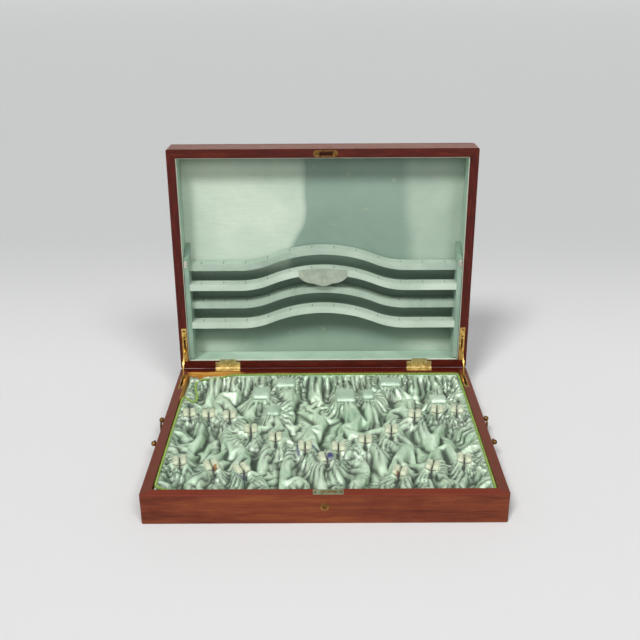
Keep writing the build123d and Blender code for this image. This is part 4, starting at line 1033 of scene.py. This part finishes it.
# Threads that draw the satin in under each pair of pads: one across the pads' front, one down from it.
TIE_ACROSS = [(-11.5, -11.0, 42.0), (-6.0, -13.0, 40.6), (0.0, -12.6, 39.4), (6.0, -13.0, 40.4),
              (11.5, -11.0, 41.6)]
TIE_DOWN = [(0.0, -9.0, 43.6), (0.2, -12.4, 42.0), (0.0, -14.0, 37.0), (0.3, -17.0, 32.0)]
parts = []
for cx, cy, turn in HOLDERS:
    spin = Matrix.Rotation(radians(turn), 3, "Z")
    for route in (TIE_ACROSS, TIE_DOWN):
        line = [tuple(spin @ Vector(place) + Vector((cx, cy, 0.0))) for place in route]
        parts.append(strand(even_points(nurbs_line(line, 6), 0.0008), 0.0, 1.0, 0.0005, 0.0, 5))
mesh_piece("tie_threads", *join(parts), "base", thread_material(), "cord")


# ---- floor, backdrop, light and camera, in metres
def stage_cloth(name, scale, dark, light, roughness, specular, behind=None):
    """Pale cloth. behind is the colour that it turns to behind the chest."""
    g = Graph(name)
    cloth = g.noise(g.place(), scale, 2.0)
    colour = g.ramp(cloth, (0.3, dark), (0.7, light))
    if behind:
        _, y, _ = g.axes()
        colour = g.mix(g.fade(y, 0.25, 1.3), colour, behind)
    return g.finish(colour, g.fade(cloth, 0.3, 0.7, *roughness), Specular_IOR_Level=specular)


FLOOR_HALF = 30.0
BACKDROP_RADIUS = 28.0
BACKDROP_HEIGHT = 14.0
BACKDROP_SIDES = 144
FLOOR_CLOTH = stage_cloth("pale_cloth_floor", 700.0, rgb(226, 226, 226), rgb(232, 232, 231), (0.9, 0.8), 0.2,
                          rgb(206, 207, 206))
BACKDROP_CLOTH = stage_cloth("pale_backdrop", 60.0, rgb(216, 217, 217), rgb(220, 221, 221), (0.95, 0.9), 0.1)
corners = [(x * FLOOR_HALF, y * FLOOR_HALF, 0) for x, y in ((-1, -1), (1, -1), (1, 1), (-1, 1))]
floor = mesh_object("floor", corners, [(0, 1, 2, 3)], FLOOR_CLOTH, smooth=False)

around = [(BACKDROP_RADIUS * cos(a), BACKDROP_RADIUS * sin(a))
          for a in np.linspace(0, 2 * pi, BACKDROP_SIDES + 1)[:-1]]
panels = [(n, n + BACKDROP_SIDES, (n + 1) % BACKDROP_SIDES + BACKDROP_SIDES, (n + 1) % BACKDROP_SIDES)
          for n in range(BACKDROP_SIDES)]
backdrop = mesh_object("backdrop", [(x, y, z) for z in (0, BACKDROP_HEIGHT) for x, y in around], panels,
                       BACKDROP_CLOTH)

world = bpy.data.worlds.new("studio")
scene.world = world
world.use_nodes = True
background = world.node_tree.nodes["Background"].inputs
background["Color"].default_value = (0.90, 0.92, 0.95, 1.0)
background["Strength"].default_value = 0.17


def light(name, kind, direction, energy, **settings):
    lamp = bpy.data.lights.new(name, kind)
    lamp.energy = energy
    for key, value in settings.items():
        setattr(lamp, key, value)
    holder = scene_object(name, lamp)
    holder.rotation_euler = Vector(direction).to_track_quat("-Z", "Y").to_euler()
    return holder


SOFTBOX_PLACE = Vector((0.05, -1.7, 1.05))
SOFTBOX_TARGET = Vector((0, 0, 0.15))
light("front", "AREA", SOFTBOX_TARGET - SOFTBOX_PLACE, 3.4, shape="RECTANGLE", size=0.55, size_y=0.45,
      color=(1.0, 0.99, 0.97)).location = SOFTBOX_PLACE
for name, direction, energy, spread in (("high_left", (0.30, 0.60, -0.74), 1.78, 14),
                                        ("high_right", (-0.34, 0.58, -0.74), 0.98, 18),
                                        ("overhead", (0.05, 0.12, -0.99), 0.30, 50)):
    light(name, "SUN", direction, energy, angle=radians(spread))

CAMERA_PLACE = (-0.0034, -1.2887, 0.7963)
PITCH = radians(23.115)
YAW = radians(-0.108)
ROLL = radians(-0.332)
scene.view_settings.view_transform = "Standard"
lens = bpy.data.cameras.new("camera")
lens.sensor_width = 36.0
lens.lens = 47.88
camera = scene_object("camera", lens)
camera.matrix_world = (Matrix.Translation(CAMERA_PLACE) @ Matrix.Rotation(-YAW, 4, "Z")
                       @ Matrix.Rotation(pi / 2 - PITCH, 4, "X") @ Matrix.Rotation(ROLL, 4, "Z"))
scene.camera = camera
